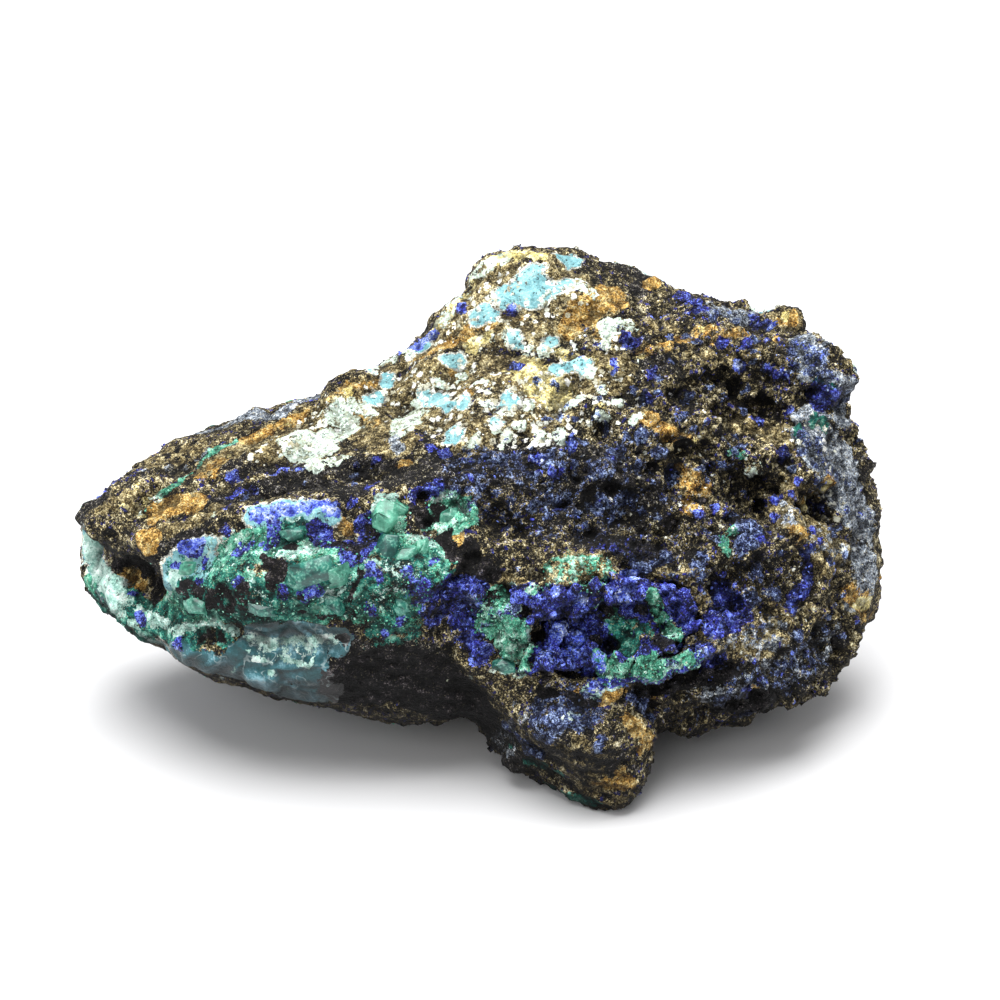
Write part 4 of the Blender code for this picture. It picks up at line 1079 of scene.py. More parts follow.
@dataclass(frozen=True)
class RockFinish:
    """Speckled gossan under its minerals. The first numbers are the sizes of its grains."""

    name: str = "copper_stained_gossan"
    dust: float = 0.25
    grain: float = 0.46
    crumb: float = 1.5
    cloud: float = 6.0
    isle: float = 2.1
    chip: float = 1.0
    shell: float = 3.4
    flow: float = 4.6
    relief: float = 1.1
    cut: Span = (0.45, 0.54)
    faint: Span = (0.03, 0.15)
    chalk_faint: Span = (0.0, 0.06)
    halo: Span = (0.1, 0.22)
    # Spans of how low a point lies, over which the painted highlight on raised points and the painted shade
    # in hollows come in.
    raised: Span = (0.02, 0.22)
    sunk: Span = (0.0, 0.18)
    soot: Shade = (0.009, 0.008, 0.008, 1.0)
    milk: Shade = (0.42, 0.52, 0.52, 1.0)
    # The tone that the painted shade multiplies the colour by.
    shade_tone: Shade = (0.09, 0.085, 0.09, 1.0)

    def build(self) -> Material:
        """Returns the finish as a material."""
        s = Shader(self.name)
        at = s.place()
        crumbs = s.noise(at, self.crumb, 5.0, "Color")
        dust, (c1, c2, c3) = s.signed(s.noise(at, self.dust, 3.0, "Color")), s.signed(crumbs)
        d1, d2, d3 = dust
        cloud, flow = s.noise(at, self.cloud, 4.0) - 0.5, s.noise(at, self.flow, 2.5) - 0.5
        grains, isles, chips = (s.cells(at, size, "Color") for size in (self.grain, self.isle, self.chip))
        dome, isle_heart, chip_heart = (s.cells(at, size) for size in (self.grain, self.isle, self.chip))
        lot, second = s.channel(grains, 0), s.channel(grains, 1)
        swirled = s.node("VectorMath", {"operation": "ADD"}, {0: at, 1: crumbs})
        shells = s.channel(s.cells(swirled, self.shell, "Color"), 0) - 0.5
        painted_shade, hollow, own = s.mask("painted_shade"), s.mask("hollow"), s.mask("lot") - 0.5

        tone = lot * lot * 0.36 + c1 * 1.9 + d1 * 2.6 + cloud * 0.5 + own * 0.4 + 0.28
        blue_grain = (second - 0.84).over(0.0, 0.05) * (c2 + own * 0.3 + 0.04).over(0.0, 0.12)
        colour = s.blend(blue_grain, s.palette(GOSSAN, tone), s.mineral(Layer.AZURITE, d2 * 2.0 + 0.55))
        waves = {
            Wave.FIRST: c1, Wave.SECOND: c2, Wave.THIRD: c3,
            Wave.CLOUDED_FIRST: c1 + cloud * 0.9, Wave.CLOUDED_SECOND: c2 + cloud * 0.9,
            Wave.WAX: cloud * 1.5 + shells * 0.16 + c1 * 0.5, Wave.CHIPS: s.channel(chips, 1) - 0.4}
        clumps = {
            Layer.CRUST: isle_heart * -0.9 + (s.channel(isles, 0) - 0.5) * 0.7 + 0.42,
            Layer.CHALK: chip_heart * -0.8 + (s.channel(chips, 0) - 0.5) * 0.8 + 0.18}
        colour, shares = self._laid(s, colour, waves, clumps, dust, lot, own)

        pale = self._shown(shares, Layer.CRUST, Layer.TURQUOISE, Layer.CHALK)
        green = self._shown(shares, Layer.MINT, Layer.DEEP, Layer.FROST)
        blue = self._shown(shares, Layer.AZURITE, Layer.BRIGHT, Layer.INDIGO)
        glassy = shares[Layer.WAXY] * (1.0 - shares[Layer.FROST] * 0.7)
        calm = (pale * 0.7 + glassy * 0.9 + green * 0.45).over(0.0, 1.0)
        grit = 0.25 + (d2 * 2.6 + (second - 0.5) * 0.5 + c3 * 1.6).over(-0.8, 0.8) * 1.5
        colour = s.blend(1.0, colour, grit * (1.0 - calm) + calm, "MULTIPLY")
        speck = (second - 0.86).over(0.0, 0.04) * (d2 + 0.05).over(0.0, 0.08)
        colour = s.blend(speck * 0.85 * (1.0 - glassy), colour, self.soot)
        # Painted highlights: small pale or blue glints on the rough rock, kept off the painted shade, the
        # pits and the calm minerals; their spots are also glossier.
        highlight_room = (1.0 - calm) * (1.0 - painted_shade) * (1.0 - shares[Layer.SHADE_AND_BLACK] * 0.85)
        painted_highlight_share = (d3 - 0.09).over(0.0, 0.04) * (lot - 0.42).over(0.0, 0.1) * highlight_room
        painted_highlight_tone = s.blend(blue, s.palette(GOSSAN, lot * 0.5 + 0.5), s.mineral(Layer.BRIGHT, lot * 0.5 + 0.4))
        colour = s.blend(painted_highlight_share * 0.8, colour, painted_highlight_tone)
        wisp = (1.0 - abs(flow).over(0.0, 0.016)) * (c2 + 0.14).over(0.0, 0.15) * glassy
        colour = s.blend(wisp * 0.5, colour, self.milk)
        # Painted highlight on raised points and painted shade in hollows, with less shade on pale minerals.
        worn = 1.0 + (hollow * -1.0).over(*self.raised) * 0.5 - hollow.over(*self.sunk) * (0.57 - pale * 0.4)
        colour = s.blend(1.0, colour, worn, "MULTIPLY")
        # Painted shade: darker in wide hollows and on undersides, and towards the bottom on the right.
        colour = s.blend(painted_shade * 0.92, colour, self.shade_tone, "MULTIPLY")
        height = (c1 * 0.6 + d1 * 0.45 - dome * 0.3) * (1.0 - glassy * 0.85 - pale * 0.6 - green * 0.25)
        return s.finish({"Base Color": colour, "Roughness": 0.78 - painted_highlight_share * 0.5 - blue * 0.34 - glassy * 0.4,
                         "Normal": s.bump(height, self.relief), "Specular IOR Level": 0.28,
                         "Coat Weight": glassy * 0.3, "Coat Roughness": 0.25})

    @staticmethod
    def _shown(shares: dict[Layer, Wire], *layers: Layer) -> Wire:
        """Returns how much of some minerals shows together."""
        return sum(shares[layer] for layer in layers).over(0.0, 1.0)

    def _laid(self, s: Shader, colour: Wire, waves: dict[Wave, Wire], clumps: dict[Layer, Wire],
              dust: list[Wire], lot: Wire, own: Wire) -> tuple[Wire, dict[Layer, Wire]]:
        """Lays each mineral over the rock, in the order of EDGES.

        Args:
            s: the material.
            colour: the bare rock's.
            waves: the noises that EDGES names.
            clumps: what gathers a mineral into islands or chips.
            dust: the channels of the finest noise.
            lot: a number from 0 to 1 for each grain.
            own: a number about 0 for each nodule.
        Returns:
            The colour, and how much of each mineral shows.
        """
        shares: dict[Layer, Wire] = {}
        for layer, edge in EDGES.items():
            mask = s.mask(layer.value)
            share = mask + waves[edge.ragged] * edge.spread + dust[2] * 0.8
            if layer in clumps:
                share = share + clumps[layer]
            there = mask.over(*(self.chalk_faint if layer is Layer.CHALK else self.faint))
            if layer is Layer.TURQUOISE:
                rim = s.mineral(Layer.CHALK, dust[0] * 2.0 + 0.66)
                colour = s.blend(share.over(*self.halo) * there, colour, rim)
            shares[layer] = share.over(*self.cut) * there
            fine = (dust[0] + (lot - 0.5) * 0.15) * edge.dusty
            light = waves[edge.shade] * edge.gain + fine + own * 0.3 + 0.52
            colour = s.blend(shares[layer], colour, s.mineral(layer, light))
        return colour, shares


@dataclass(frozen=True)
class GrainFinish:
    """The finish of crystals and flakes, which carry their own tints."""

    name: str
    roughness: float
    speckle: float
    grain: float = 0.3
    relief: float = 0.08
    soot: Shade = (0.02, 0.018, 0.017, 1.0)

    def build(self) -> Material:
        """Returns the finish as a material."""
        s = Shader(self.name)
        fine = s.noise(s.place(), self.grain)
        tint = s.node("Attribute", {"attribute_name": "tint"}, {}, "Color")
        colour = s.blend(1.0, tint, 0.45 + fine.over(0.3, 0.7) * 1.1, "MULTIPLY")
        colour = s.blend((1.0 - fine.over(0.3, 0.45)) * self.speckle, colour, self.soot)
        return s.finish({"Base Color": colour, "Roughness": self.roughness + fine * 0.15,
                         "Normal": s.bump(fine, self.relief, 0.7), "Specular IOR Level": 0.35})


@dataclass(frozen=True)
class PlateFinish:
    """Glassy green malachite with cloudy streaks."""

    name: str = "malachite_plate"
    cloud: float = 2.2
    grain: float = 0.4
    relief: float = 0.15
    soot: Shade = (0.012, 0.016, 0.014, 1.0)

    def build(self) -> Material:
        """Returns the finish as a material."""
        s = Shader(self.name)
        at = s.place()
        cloud, fine = s.noise(at, self.cloud, 4.0), s.noise(at, self.grain)
        light = cloud * 1.5 + fine * 0.35 - 0.44
        colour = s.blend(s.mask("pale"), s.mineral(Layer.DEEP, light), s.mineral(Layer.MINT, light))
        rim = (fine - 0.54).over(0.0, 0.05) * (cloud - 0.42).over(0.0, 0.1)
        colour = s.blend(rim * 0.4, colour, s.mineral(Layer.MINT, fine + 0.15))
        colour = s.blend((0.37 - fine).over(0.0, 0.04) * 0.5, colour, self.soot)
        return s.finish({"Base Color": colour, "Roughness": 0.3 + fine * 0.15, "Coat Weight": 0.4,
                         "Coat Roughness": 0.15, "Normal": s.bump(cloud + fine * 0.4, self.relief, 0.5)})


@dataclass(frozen=True)
class TableFinish:
    """The plain white table."""

    name: str = "white_table"
    tone: Tone = (236, 236, 237)
    clouded: Shade = (0.85, 0.85, 0.86, 1.0)
    cloud: float = 40.0

    def build(self) -> Material:
        """Returns the finish as a material."""
        s = Shader(self.name)
        cloud = s.noise(s.place(), self.cloud, 2.0)
        colour = s.blend(cloud * 0.02, (*linear(self.tone), 1.0), self.clouded)
        return s.finish({"Base Color": colour, "Roughness": 0.9, "Specular IOR Level": 0.1})


@dataclass(frozen=True)
class Swell:
    """A lump that stands out of the skin, or a pit where its rise is negative, at a point of the picture."""

    place: str
    pixel: Pixel
    radius: float
    rise: float


SWELLS: tuple[Swell, ...] = tuple(Swell(*row) for row in (
    ("nub", (86, 510), 2.6, 1.1), ("undercut of nub", (88, 546), 3.4, -2.8),
    ("undercut's right", (112, 540), 1.8, -0.9), ("face under it", (90, 572), 3.0, -1.6),
    ("left crest", (143, 481), 3.6, 2.0), ("crest", (215, 446), 6.0, 0.8),
    ("crest's middle", (268, 428), 6.5, 1.9), ("crest's right", (330, 408), 6.5, 1.6),
    ("crest's end", (378, 384), 5.0, 1.2), ("left flank of peak", (494, 288), 7.5, 2.2),
    ("foot of that flank", (454, 324), 6.0, 1.8), ("top of peak", (532, 264), 5.5, 1.3),
    ("sag of right top", (770, 322), 7.0, -2.0), ("right knob", (828, 380), 4.6, 2.4),
    ("right belly", (700, 716), 6.0, 2.0), ("right belly's end", (744, 714), 4.0, 1.4),
    ("notch of flank", (838, 664), 3.0, -1.6), ("foot's left", (514, 762), 3.4, 1.3),
    ("left nodule", (142, 538), 2.6, 0.9), ("left cavity", (130, 572), 2.4, -1.5),
    ("slab's left end", (156, 508), 2.0, 0.7), ("slab's right end", (188, 494), 2.0, 0.7),
    ("ledge", (196, 518), 1.8, 0.6), ("groove under slab", (168, 520), 1.0, -0.7),
    ("front plate", (318, 572), 3.0, 0.9), ("front nugget", (310, 592), 1.5, 0.8),
    ("upper plate", (294, 535), 1.6, 0.6), ("brow plate", (390, 515), 2.0, 0.7),
    ("hole by plates", (423, 498), 1.4, -1.8), ("hole below it", (430, 518), 1.1, -1.3),
    ("dark speck pit", (266, 568), 1.5, -0.6), ("dark hollow", (222, 596), 2.2, -0.7),
    ("dimple in wax", (208, 638), 1.7, -0.9), ("wax bulge", (260, 680), 4.0, 0.8),
    ("chip under brow", (458, 541), 1.5, 0.7), ("gap by chip", (474, 560), 1.8, -1.2),
    ("great island", (524, 288), 3.0, 0.4), ("blue nut of slope", (517, 366), 1.1, 0.9),
    ("blue nut of brow", (571, 436), 1.5, 0.8), ("nodule in its ring", (623, 337), 1.6, 0.9),
    ("black nodule", (642, 365), 2.0, 0.9), ("right shoulder", (656, 282), 2.2, 0.8),
    ("shoulder point", (786, 318), 1.8, 0.8), ("vug", (734, 390), 1.7, -1.8),
    ("great vug", (760, 408), 2.3, -2.0), ("vug's left", (742, 402), 1.5, -1.2),
    ("second vug", (762, 486), 2.4, -2.6), ("second vug's right", (778, 488), 1.6, -1.8),
    ("third vug", (818, 513), 1.7, -1.8), ("shelf", (756, 428), 2.4, 1.0),
    ("white nodule", (752, 470), 1.9, 1.1), ("round nodule", (694, 440), 1.4, 1.0),
    ("blue nodule", (666, 454), 1.9, 1.0), ("blue nodule right", (702, 467), 1.9, 1.0),
    ("blue nodule left", (645, 395), 1.8, 0.8), ("pit of middle", (684, 448), 1.2, -1.2),
    ("pit by it", (655, 470), 1.3, -1.2), ("pit below", (612, 488), 1.3, -1.0),
    ("chest cluster", (748, 530), 2.6, 0.9), ("chest hollow", (725, 602), 2.6, -1.8),
    ("chest crystal", (750, 600), 1.8, 0.8), ("tan nodule", (798, 532), 2.2, 1.0),
    ("right bump", (838, 388), 3.0, 1.4), ("notch below it", (852, 418), 1.6, -1.0),
    ("far flank knob", (824, 398), 2.0, 0.8), ("slot over lip", (678, 648), 1.3, -1.8),
    ("slot's right", (692, 650), 1.1, -1.4), ("foot crown", (556, 712), 3.0, 0.9),
    ("foot knuckle", (602, 748), 2.0, 0.7), ("foot cleft", (536, 752), 1.3, -0.9),
    ("cave", (736, 706), 2.2, -2.2), ("cave's right", (762, 701), 2.0, -1.8),
    ("jag of underside", (792, 700), 1.8, 1.0), ("jag beside it", (822, 690), 1.8, 1.0),
    ("notch of edge", (842, 662), 1.8, -1.1), ("lower edge knob", (858, 640), 2.0, 0.9),
    ("pocket pit", (512, 586), 1.4, -0.8), ("sage pit", (536, 575), 1.6, -0.8),
    ("crest by flank", (352, 400), 5.5, 1.9), ("crest's left", (300, 416), 4.5, 0.9),
    ("crest at flank", (418, 356), 4.2, 1.3), ("crest's dip", (366, 388), 4.4, 1.2),
    ("nose's crest", (122, 488), 3.0, 1.2), ("peak's shoulder", (492, 280), 4.6, 1.5),
    ("flank's swell", (450, 326), 5.0, 0.7), ("dome", (500, 628), 3.6, 1.0),
    ("lip's ledge", (612, 674), 2.4, 0.8), ("lip's right", (650, 669), 2.4, 0.8),
    ("lip's end", (684, 662), 2.2, 0.7), ("peak's right", (544, 268), 3.6, 1.3),
    ("right knob's top", (814, 352), 4.0, 2.0), ("right brow", (798, 342), 5.0, 1.0),
    ("right cheek", (814, 374), 4.4, 2.4), ("sag of shoulder", (742, 310), 4.6, -2.0),
    ("sag by point", (800, 320), 4.0, -1.0), ("nodule of pocket", (555, 590), 2.6, 1.0),
    ("nodule by it", (583, 600), 2.2, 0.9), ("small nodule", (560, 629), 1.4, 1.0),
    ("small nodule by it", (577, 637), 1.5, 1.1), ("low nodule", (545, 656), 2.2, 0.9),
    ("low nodule's right", (572, 652), 1.5, 0.7), ("low right nodule", (600, 664), 1.8, 0.7),
    ("black nodule of pocket", (648, 626), 2.2, 1.0), ("pocket's hole", (542, 638), 1.5, -1.4),
    ("upper hole", (530, 613), 1.3, -1.1), ("right hole", (612, 646), 1.5, -1.2),
    ("hole behind", (604, 613), 1.3, -1.1),
))


@dataclass
class Form:
    """The named lumps and pits, with where each lies."""

    swells: list[tuple[Swell, Array]]
    fade: Span = (0.25, 1.1)

    @classmethod
    def met(cls, view: Viewpoint, surface: BVHTree) -> "Form":
        """Finds where the named lumps and pits lie.

        Args:
            view: the camera.
            surface: what its rays meet.
        Returns:
            The form.
        """
        found = [(swell, surface.ray_cast(view.place, view.ray(swell.pixel))[0]) for swell in SWELLS]
        LOG.info("swells that miss: %s", [swell.place for swell, point in found if point is None])
        return cls([(swell, np.array(point)) for swell, point in found if point is not None])

    def heights(self, points: Array) -> Array:
        """Returns how far the lumps and pits move each point out."""
        warped = nudged(points)
        height = np.zeros(len(points))
        for swell, heart in self.swells:
            away = np.linalg.norm(warped - heart, axis=1) / swell.radius
            height += swell.rise * (1.0 - eased(away, *self.fade))
        return height


BEDDING = np.array(((0.22, 0.0, 0.3), (0.0, 0.22, 0.0), (0.0, 0.0, 1.0)))



@dataclass(frozen=True)
class Relief:
    """How far each kind of grain stands out of the skin or into it, and how far apart its grains are."""

    crumb: float = 0.8
    cobble: float = 1.1
    nodule: float = 0.6
    pit: float = 1.6
    vesicle: float = 0.9
    level: float = 0.45
    grit: float = 0.22
    slab: float = 0.22
    ridge: float = 0.55
    shell: float = 0.8
    bed: float = 0.45
    cobbles_apart: float = 3.3
    nodules_apart: float = 1.7
    pits_apart: float = 4.4
    shells_apart: float = 7.0
    hollow_lot: float = 0.78
    vivid_lot: float = 0.7

    @staticmethod
    def _lumps(near: Array, following: Array, width: float, gap: float, joint: float) -> Array:
        """Returns rounded lumps of a width, parted by joints that are a gap deep."""
        return 1.0 - eased(near, 0.0, width) - gap * (1.0 - eased(following - near, 0.0, joint))

    def heights(self, points: Array, masks: Masks) -> tuple[Array, Array]:
        """Works out the relief, and lets blue grow on some nodules.

        Args:
            points: places on the surface.
            masks: what lies there; the two blue masks gain the blue nodules.
        Returns:
            The height at each place, and a number from 0 to 1 that its nodule shares.
        """
        rough, slate, strata = (unit(masks[layer]) for layer in (Layer.ROUGH, Layer.SLATE_AND_SHEEN, Layer.STRATA))
        smooth = unit(masks[Layer.WAXY] + 0.8 * masks[Layer.TURQUOISE] + 0.7 * masks[Layer.CRUST]
                      + 0.8 * masks[Layer.CHALK] + 0.4 * masks[Layer.STRATA])
        loose = (0.3 + 0.7 * rough) * (1.0 - 0.85 * smooth) * (1.0 - 0.5 * slate)
        warped = nudged(points)
        near, following, owner = Lattice(Seed.COBBLES).cells(warped, self.cobbles_apart)
        cobbles = self._lumps(near, following, 0.75, 0.45, 0.22) * (0.25 + 0.75 * eased(owner, 0.3, 0.7))
        close, next_close, lot = Lattice(Seed.NODULES).cells(warped, self.nodules_apart)
        nodules = self._lumps(close, next_close, 0.7, 0.5, 0.25)
        drifted = Lattice(Seed.VUG_DRIFT).drift(points, 4.0, 1.2)
        wide, _, wide_lot = Lattice(Seed.VUGS).cells(drifted, self.pits_apart)
        holes = eased(0.34 + 0.2 * wide_lot - wide, 0.0, 0.2) * eased(wide_lot, 0.5, 0.62)
        vesicles = eased(0.36 - close, 0.0, 0.25) * (lot > self.hollow_lot)
        blue = eased(1.0 - close * 1.3, 0.1, 0.6) * eased(lot, 0.5, 0.62) * (lot < self.hollow_lot)
        vivid = owner > self.vivid_lot
        masks[Layer.AZURITE] = np.maximum(masks[Layer.AZURITE], 0.8 * blue * rough * vivid)
        masks[Layer.INDIGO] = np.maximum(masks[Layer.INDIGO], 0.9 * blue * rough * ~vivid)
        height = loose * (self.crumb * Lattice(Seed.LUMPS).rough(points, 5.5, 4) + self.cobble * cobbles
                          + self.nodule * nodules - self.pit * holes * rough - self.vesicle * vesicles
                          - self.level)
        height += self.grit * Lattice(Seed.GRIT).rough(points, 1.3, 2) * (1.0 - 0.9 * smooth)
        slabs = eased(Lattice(Seed.SLABS).rough(points, 3.0, 3), -0.05, 0.1)
        height += self.slab * masks[Layer.CRUST] * slabs
        curled = Lattice(Seed.SHELL_DRIFT).drift(points, 5.0, 1.5)
        heart, next_heart, _ = Lattice(Seed.SHELLS).cells(curled, self.shells_apart)
        ridges = 1.0 - eased(next_heart - heart, 0.0, 0.16)
        height += masks[Layer.WAXY] * (self.ridge * ridges + self.shell * (0.5 - heart))
        beds = Lattice(Seed.BEDS).rough(points @ BEDDING, 1.7, 2)
        height += self.bed * masks[Layer.STRATA] * beds
        lots = 0.6 * lot + 0.4 * owner
        return height, unit(lots + (0.5 + beds * 0.8 - lots) * strata)


@dataclass
class RockSkin:
    """The rock's outer skin, which stands for the solid rock."""

    name: str = "rock_skin"
    node_name: str = "matrix_rock"
    slot_name: str = "gossan"
    voxels: tuple[float, ...] = (1.0, 0.575)
    reach: int = 12
    wider: int = 5
    shade_hollow_span: Span = (0.15, 1.1)
    piece: Object | None = None
    masks: Masks = field(default_factory=dict)

    def build(self, node: Object, form: Form) -> "RockSkin":
        """Makes the skin from its solid, with the named lumps and pits.

        Args:
            node: the solid.
            form: the lumps and pits.
        Returns:
            Itself, with its piece made.
        """
        self.piece = merged_copy(node, self.name)
        for voxel in self.voxels:
            remeshed(self.piece, voxel, 2)
        mesh = self.piece.data
        move_points(mesh, points_of(mesh) + normals_of(mesh) * form.heights(points_of(mesh))[:, None])
        return self

    def paint(self, painter: Painter, relief: Relief) -> None:
        """Lays the minerals and roughens the skin.

        Args:
            painter: lays the minerals.
            relief: the grain of the surface.
        """
        mesh = self.piece.data
        points, normals = points_of(mesh), normals_of(mesh)
        self.masks = painter.masks(points, normals)
        height, lots = self.grain(points, relief)
        move_points(mesh, points + normals * height[:, None])
        write_masks(mesh, self.masks)
        self.store_hollows(lots, self.reach)

    def grain(self, points: Array, relief: Relief) -> tuple[Array, Array]:
        """Returns each point's height, and a number from 0 to 1 that its nodule shares."""
        return relief.heights(points, self.masks)

    def store_hollows(self, lots: Array, rounds: int) -> None:
        """Stores how low each point lies, its painted shade (in wide hollows and on undersides, and darker
        towards the bottom on the right) and which nodule it belongs to.

        Args:
            lots: a number from 0 to 1 that a nodule's points share.
            rounds: how far round itself a point is measured against.
        """
        mesh = self.piece.data
        write_values(mesh, "hollow", sunken(mesh, rounds))
        # Painted shade in the wide hollows, with the painted shade below added to it.
        low = 0.75 * eased(sunken(mesh, rounds * self.wider), *self.shade_hollow_span)
        write_values(mesh, "painted_shade", unit(low + painted_shade_below(points_of(mesh), normals_of(mesh))))
        write_values(mesh, "lot", lots)
        mesh.shade_smooth()

    def dress(self, finish: Material) -> None:
        """Gives the skin its finish and its place in the frame."""
        self.piece.data.materials.clear()
        self.piece.data.materials.append(finish)
        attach(self.piece, "root")
        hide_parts(self.node_name)
        LOG.info("%s: %d faces", self.name, len(self.piece.data.polygons))


@dataclass
class DruseFloor(RockSkin):
    """The crust that lines the front hollow, under its blades."""

    name: str = "druse_floor"
    node_name: str = "azurite_crust"
    slot_name: str = "azurite"
    voxels: tuple[float, ...] = (0.36,)
    reach: int = 16

    def grain(self, points: Array, relief: Relief) -> tuple[Array, Array]:
        """Returns each point's height, and a number from 0 to 1 that its crystal shares."""
        bare = unit(np.maximum(self.masks[Layer.MINT], self.masks[Layer.DEEP]))
        self.masks[Layer.AZURITE] = np.maximum(self.masks[Layer.AZURITE], 0.85) * (1.0 - bare)
        near, _, lots = Lattice(Seed.CRYSTALS).cells(points, 1.3)
        wide, _, _ = Lattice(Seed.CLUSTERS).cells(points, 3.0)
        fine = Lattice(Seed.DRUSE).rough(points, 1.6, 3)
        return 0.35 * (1.0 - near) + 0.6 * (0.6 - wide) + 0.22 * fine - 0.15, lots


@dataclass
class Ground:
    """A made surface that grains are sown on, as its triangles and their masks."""

    corners: Array
    areas: Array
    normals: Array
    masks: Masks

    @classmethod
    def of(cls, skin: RockSkin) -> "Ground":
        """Reads the ground of a finished skin.

        Args:
            skin: the skin or crust.
        Returns:
            Its ground.
        """
        mesh = skin.piece.data
        mesh.calc_loop_triangles()
        triangles = read(mesh.loop_triangles, "vertices", 3, np.int32)
        corners = points_of(mesh)[triangles]
        across = np.cross(corners[:, 1] - corners[:, 0], corners[:, 2] - corners[:, 0])
        doubled = np.linalg.norm(across, axis=1)
        masks = {layer: values[triangles].mean(axis=1) for layer, values in skin.masks.items()}
        return cls(corners, doubled / 2, across / np.maximum(doubled, 1e-9)[:, None], masks)

    def joined(self, other: "Ground") -> "Ground":
        """Returns this ground and another as one."""
        masks = {layer: np.concatenate((self.masks[layer], other.masks[layer])) for layer in Layer}
        pairs = ((self.corners, other.corners), (self.areas, other.areas), (self.normals, other.normals))
        return Ground(*map(np.concatenate, pairs), masks)


@dataclass
class Seeds:
    """Where grains were sown: points, ways out of the surface and the masks there."""

    points: Array
    normals: Array
    masks: Masks


@dataclass
class Sowing:
    """A crop of grains of one kind, joined as one piece."""

    name: str
    count: int
    lengths: Span
    templates: list[Mesh]
    seed: int
    lean: float = 0.5
    sunk: float = 0.2
    slot_name: str = "gossan"
    skew: float = 1.6
    spread: Span = (0.75, 1.25)

    def sow(self, ground: Ground, density: Array) -> Seeds:
        """Draws the places of the grains.

        Args:
            ground: the surface.
            density: how thickly they stand on each of its triangles.
        Returns:
            The places.
        """
        draw = np.random.default_rng(self.seed)
        weights = ground.areas * np.maximum(density, 0.0)
        chosen = draw.choice(len(weights), self.count, p=weights / weights.sum())
        shares = draw.dirichlet((1.0, 1.0, 1.0), self.count)
        points = np.einsum("ij,ijk->ik", shares, ground.corners[chosen])
        masks = {layer: values[chosen] for layer, values in ground.masks.items()}
        return Seeds(points, ground.normals[chosen], masks)

    def plant(self, seeds: Seeds, values: dict[str, Array], stretch: Triple) -> Object:
        """Sets the grains as one mesh from arrays of their templates.

        Args:
            seeds: their places.
            values: what each grain's points store, by name: a number or a linear colour a grain.
            stretch: the grains' width, depth and height for a length of 1.
        Returns:
            The piece.
        """
        draw = np.random.default_rng(self.seed + 1)
        count = len(seeds.points)
        low, high = self.lengths
        size = (low * (high / low) ** draw.random(count) ** self.skew)[:, None] * np.array(stretch)
        size = size * draw.uniform(*self.spread, (count, 3))
        up = seeds.normals + self.lean * draw.normal(0.0, 1.0, (count, 3))
        up /= np.linalg.norm(up, axis=1)[:, None]
        side = np.cross(up, draw.normal(0.0, 1.0, (count, 3)))
        side /= np.linalg.norm(side, axis=1)[:, None]
        frames = np.stack((side, np.cross(up, side), up), axis=2)
        base = seeds.points - seeds.normals * (self.sunk * size[:, 2])[:, None]
        kind = draw.integers(0, len(self.templates), count)
        places, faces, owners, total = [], [], [], 0
        for index, template in enumerate(self.templates):
            mine = np.flatnonzero(kind == index)
            shape = points_of(template) * MM
            triangles = np.array([tuple(face.vertices) for face in template.polygons])
            moved = np.einsum("nij,nkj->nki", frames[mine], shape[None] * size[mine][:, None])
            places.append((moved + base[mine][:, None]).reshape(-1, 3))
            steps = total + np.arange(len(mine)) * len(shape)
            faces.append((triangles[None] + steps[:, None, None]).reshape(-1, 3))
            owners.append(np.repeat(mine, len(shape)))
            total += len(mine) * len(shape)
        owner = np.concatenate(owners)
        return self._piece(np.concatenate(places), np.concatenate(faces),
                           {name: each[owner] for name, each in values.items()})

    def _piece(self, points: Array, triangles: Array, values: dict[str, Array]) -> Object:
        """Returns one object of these points, triangles and stored values."""
        mesh = bpy.data.meshes.new(self.name)
        mesh.vertices.add(len(points))
        mesh.loops.add(triangles.size)
        mesh.polygons.add(len(triangles))
        mesh.loops.foreach_set("vertex_index", triangles.ravel().astype(np.int32))
        mesh.polygons.foreach_set("loop_start", np.arange(0, triangles.size, 3, dtype=np.int32))
        move_points(mesh, points)
        for name, stored in values.items():
            if stored.ndim == 1:
                write_values(mesh, name, stored)
            else:
                tints = np.c_[stored, np.ones(len(stored))].astype(np.float32)
                mesh.attributes.new(name, "FLOAT_COLOR", "POINT").data.foreach_set("color", tints.ravel())
        mesh.update()
        mesh.validate()
        return linked(self.name, mesh)

    def dress(self, piece: Object, finish: Material) -> Object:
        """Returns the crop's piece with its finish and its place in the frame."""
        piece.data.materials.append(finish)
        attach(piece, "root")
        return piece


Start = Callable[[BMesh, Chance, int], None]



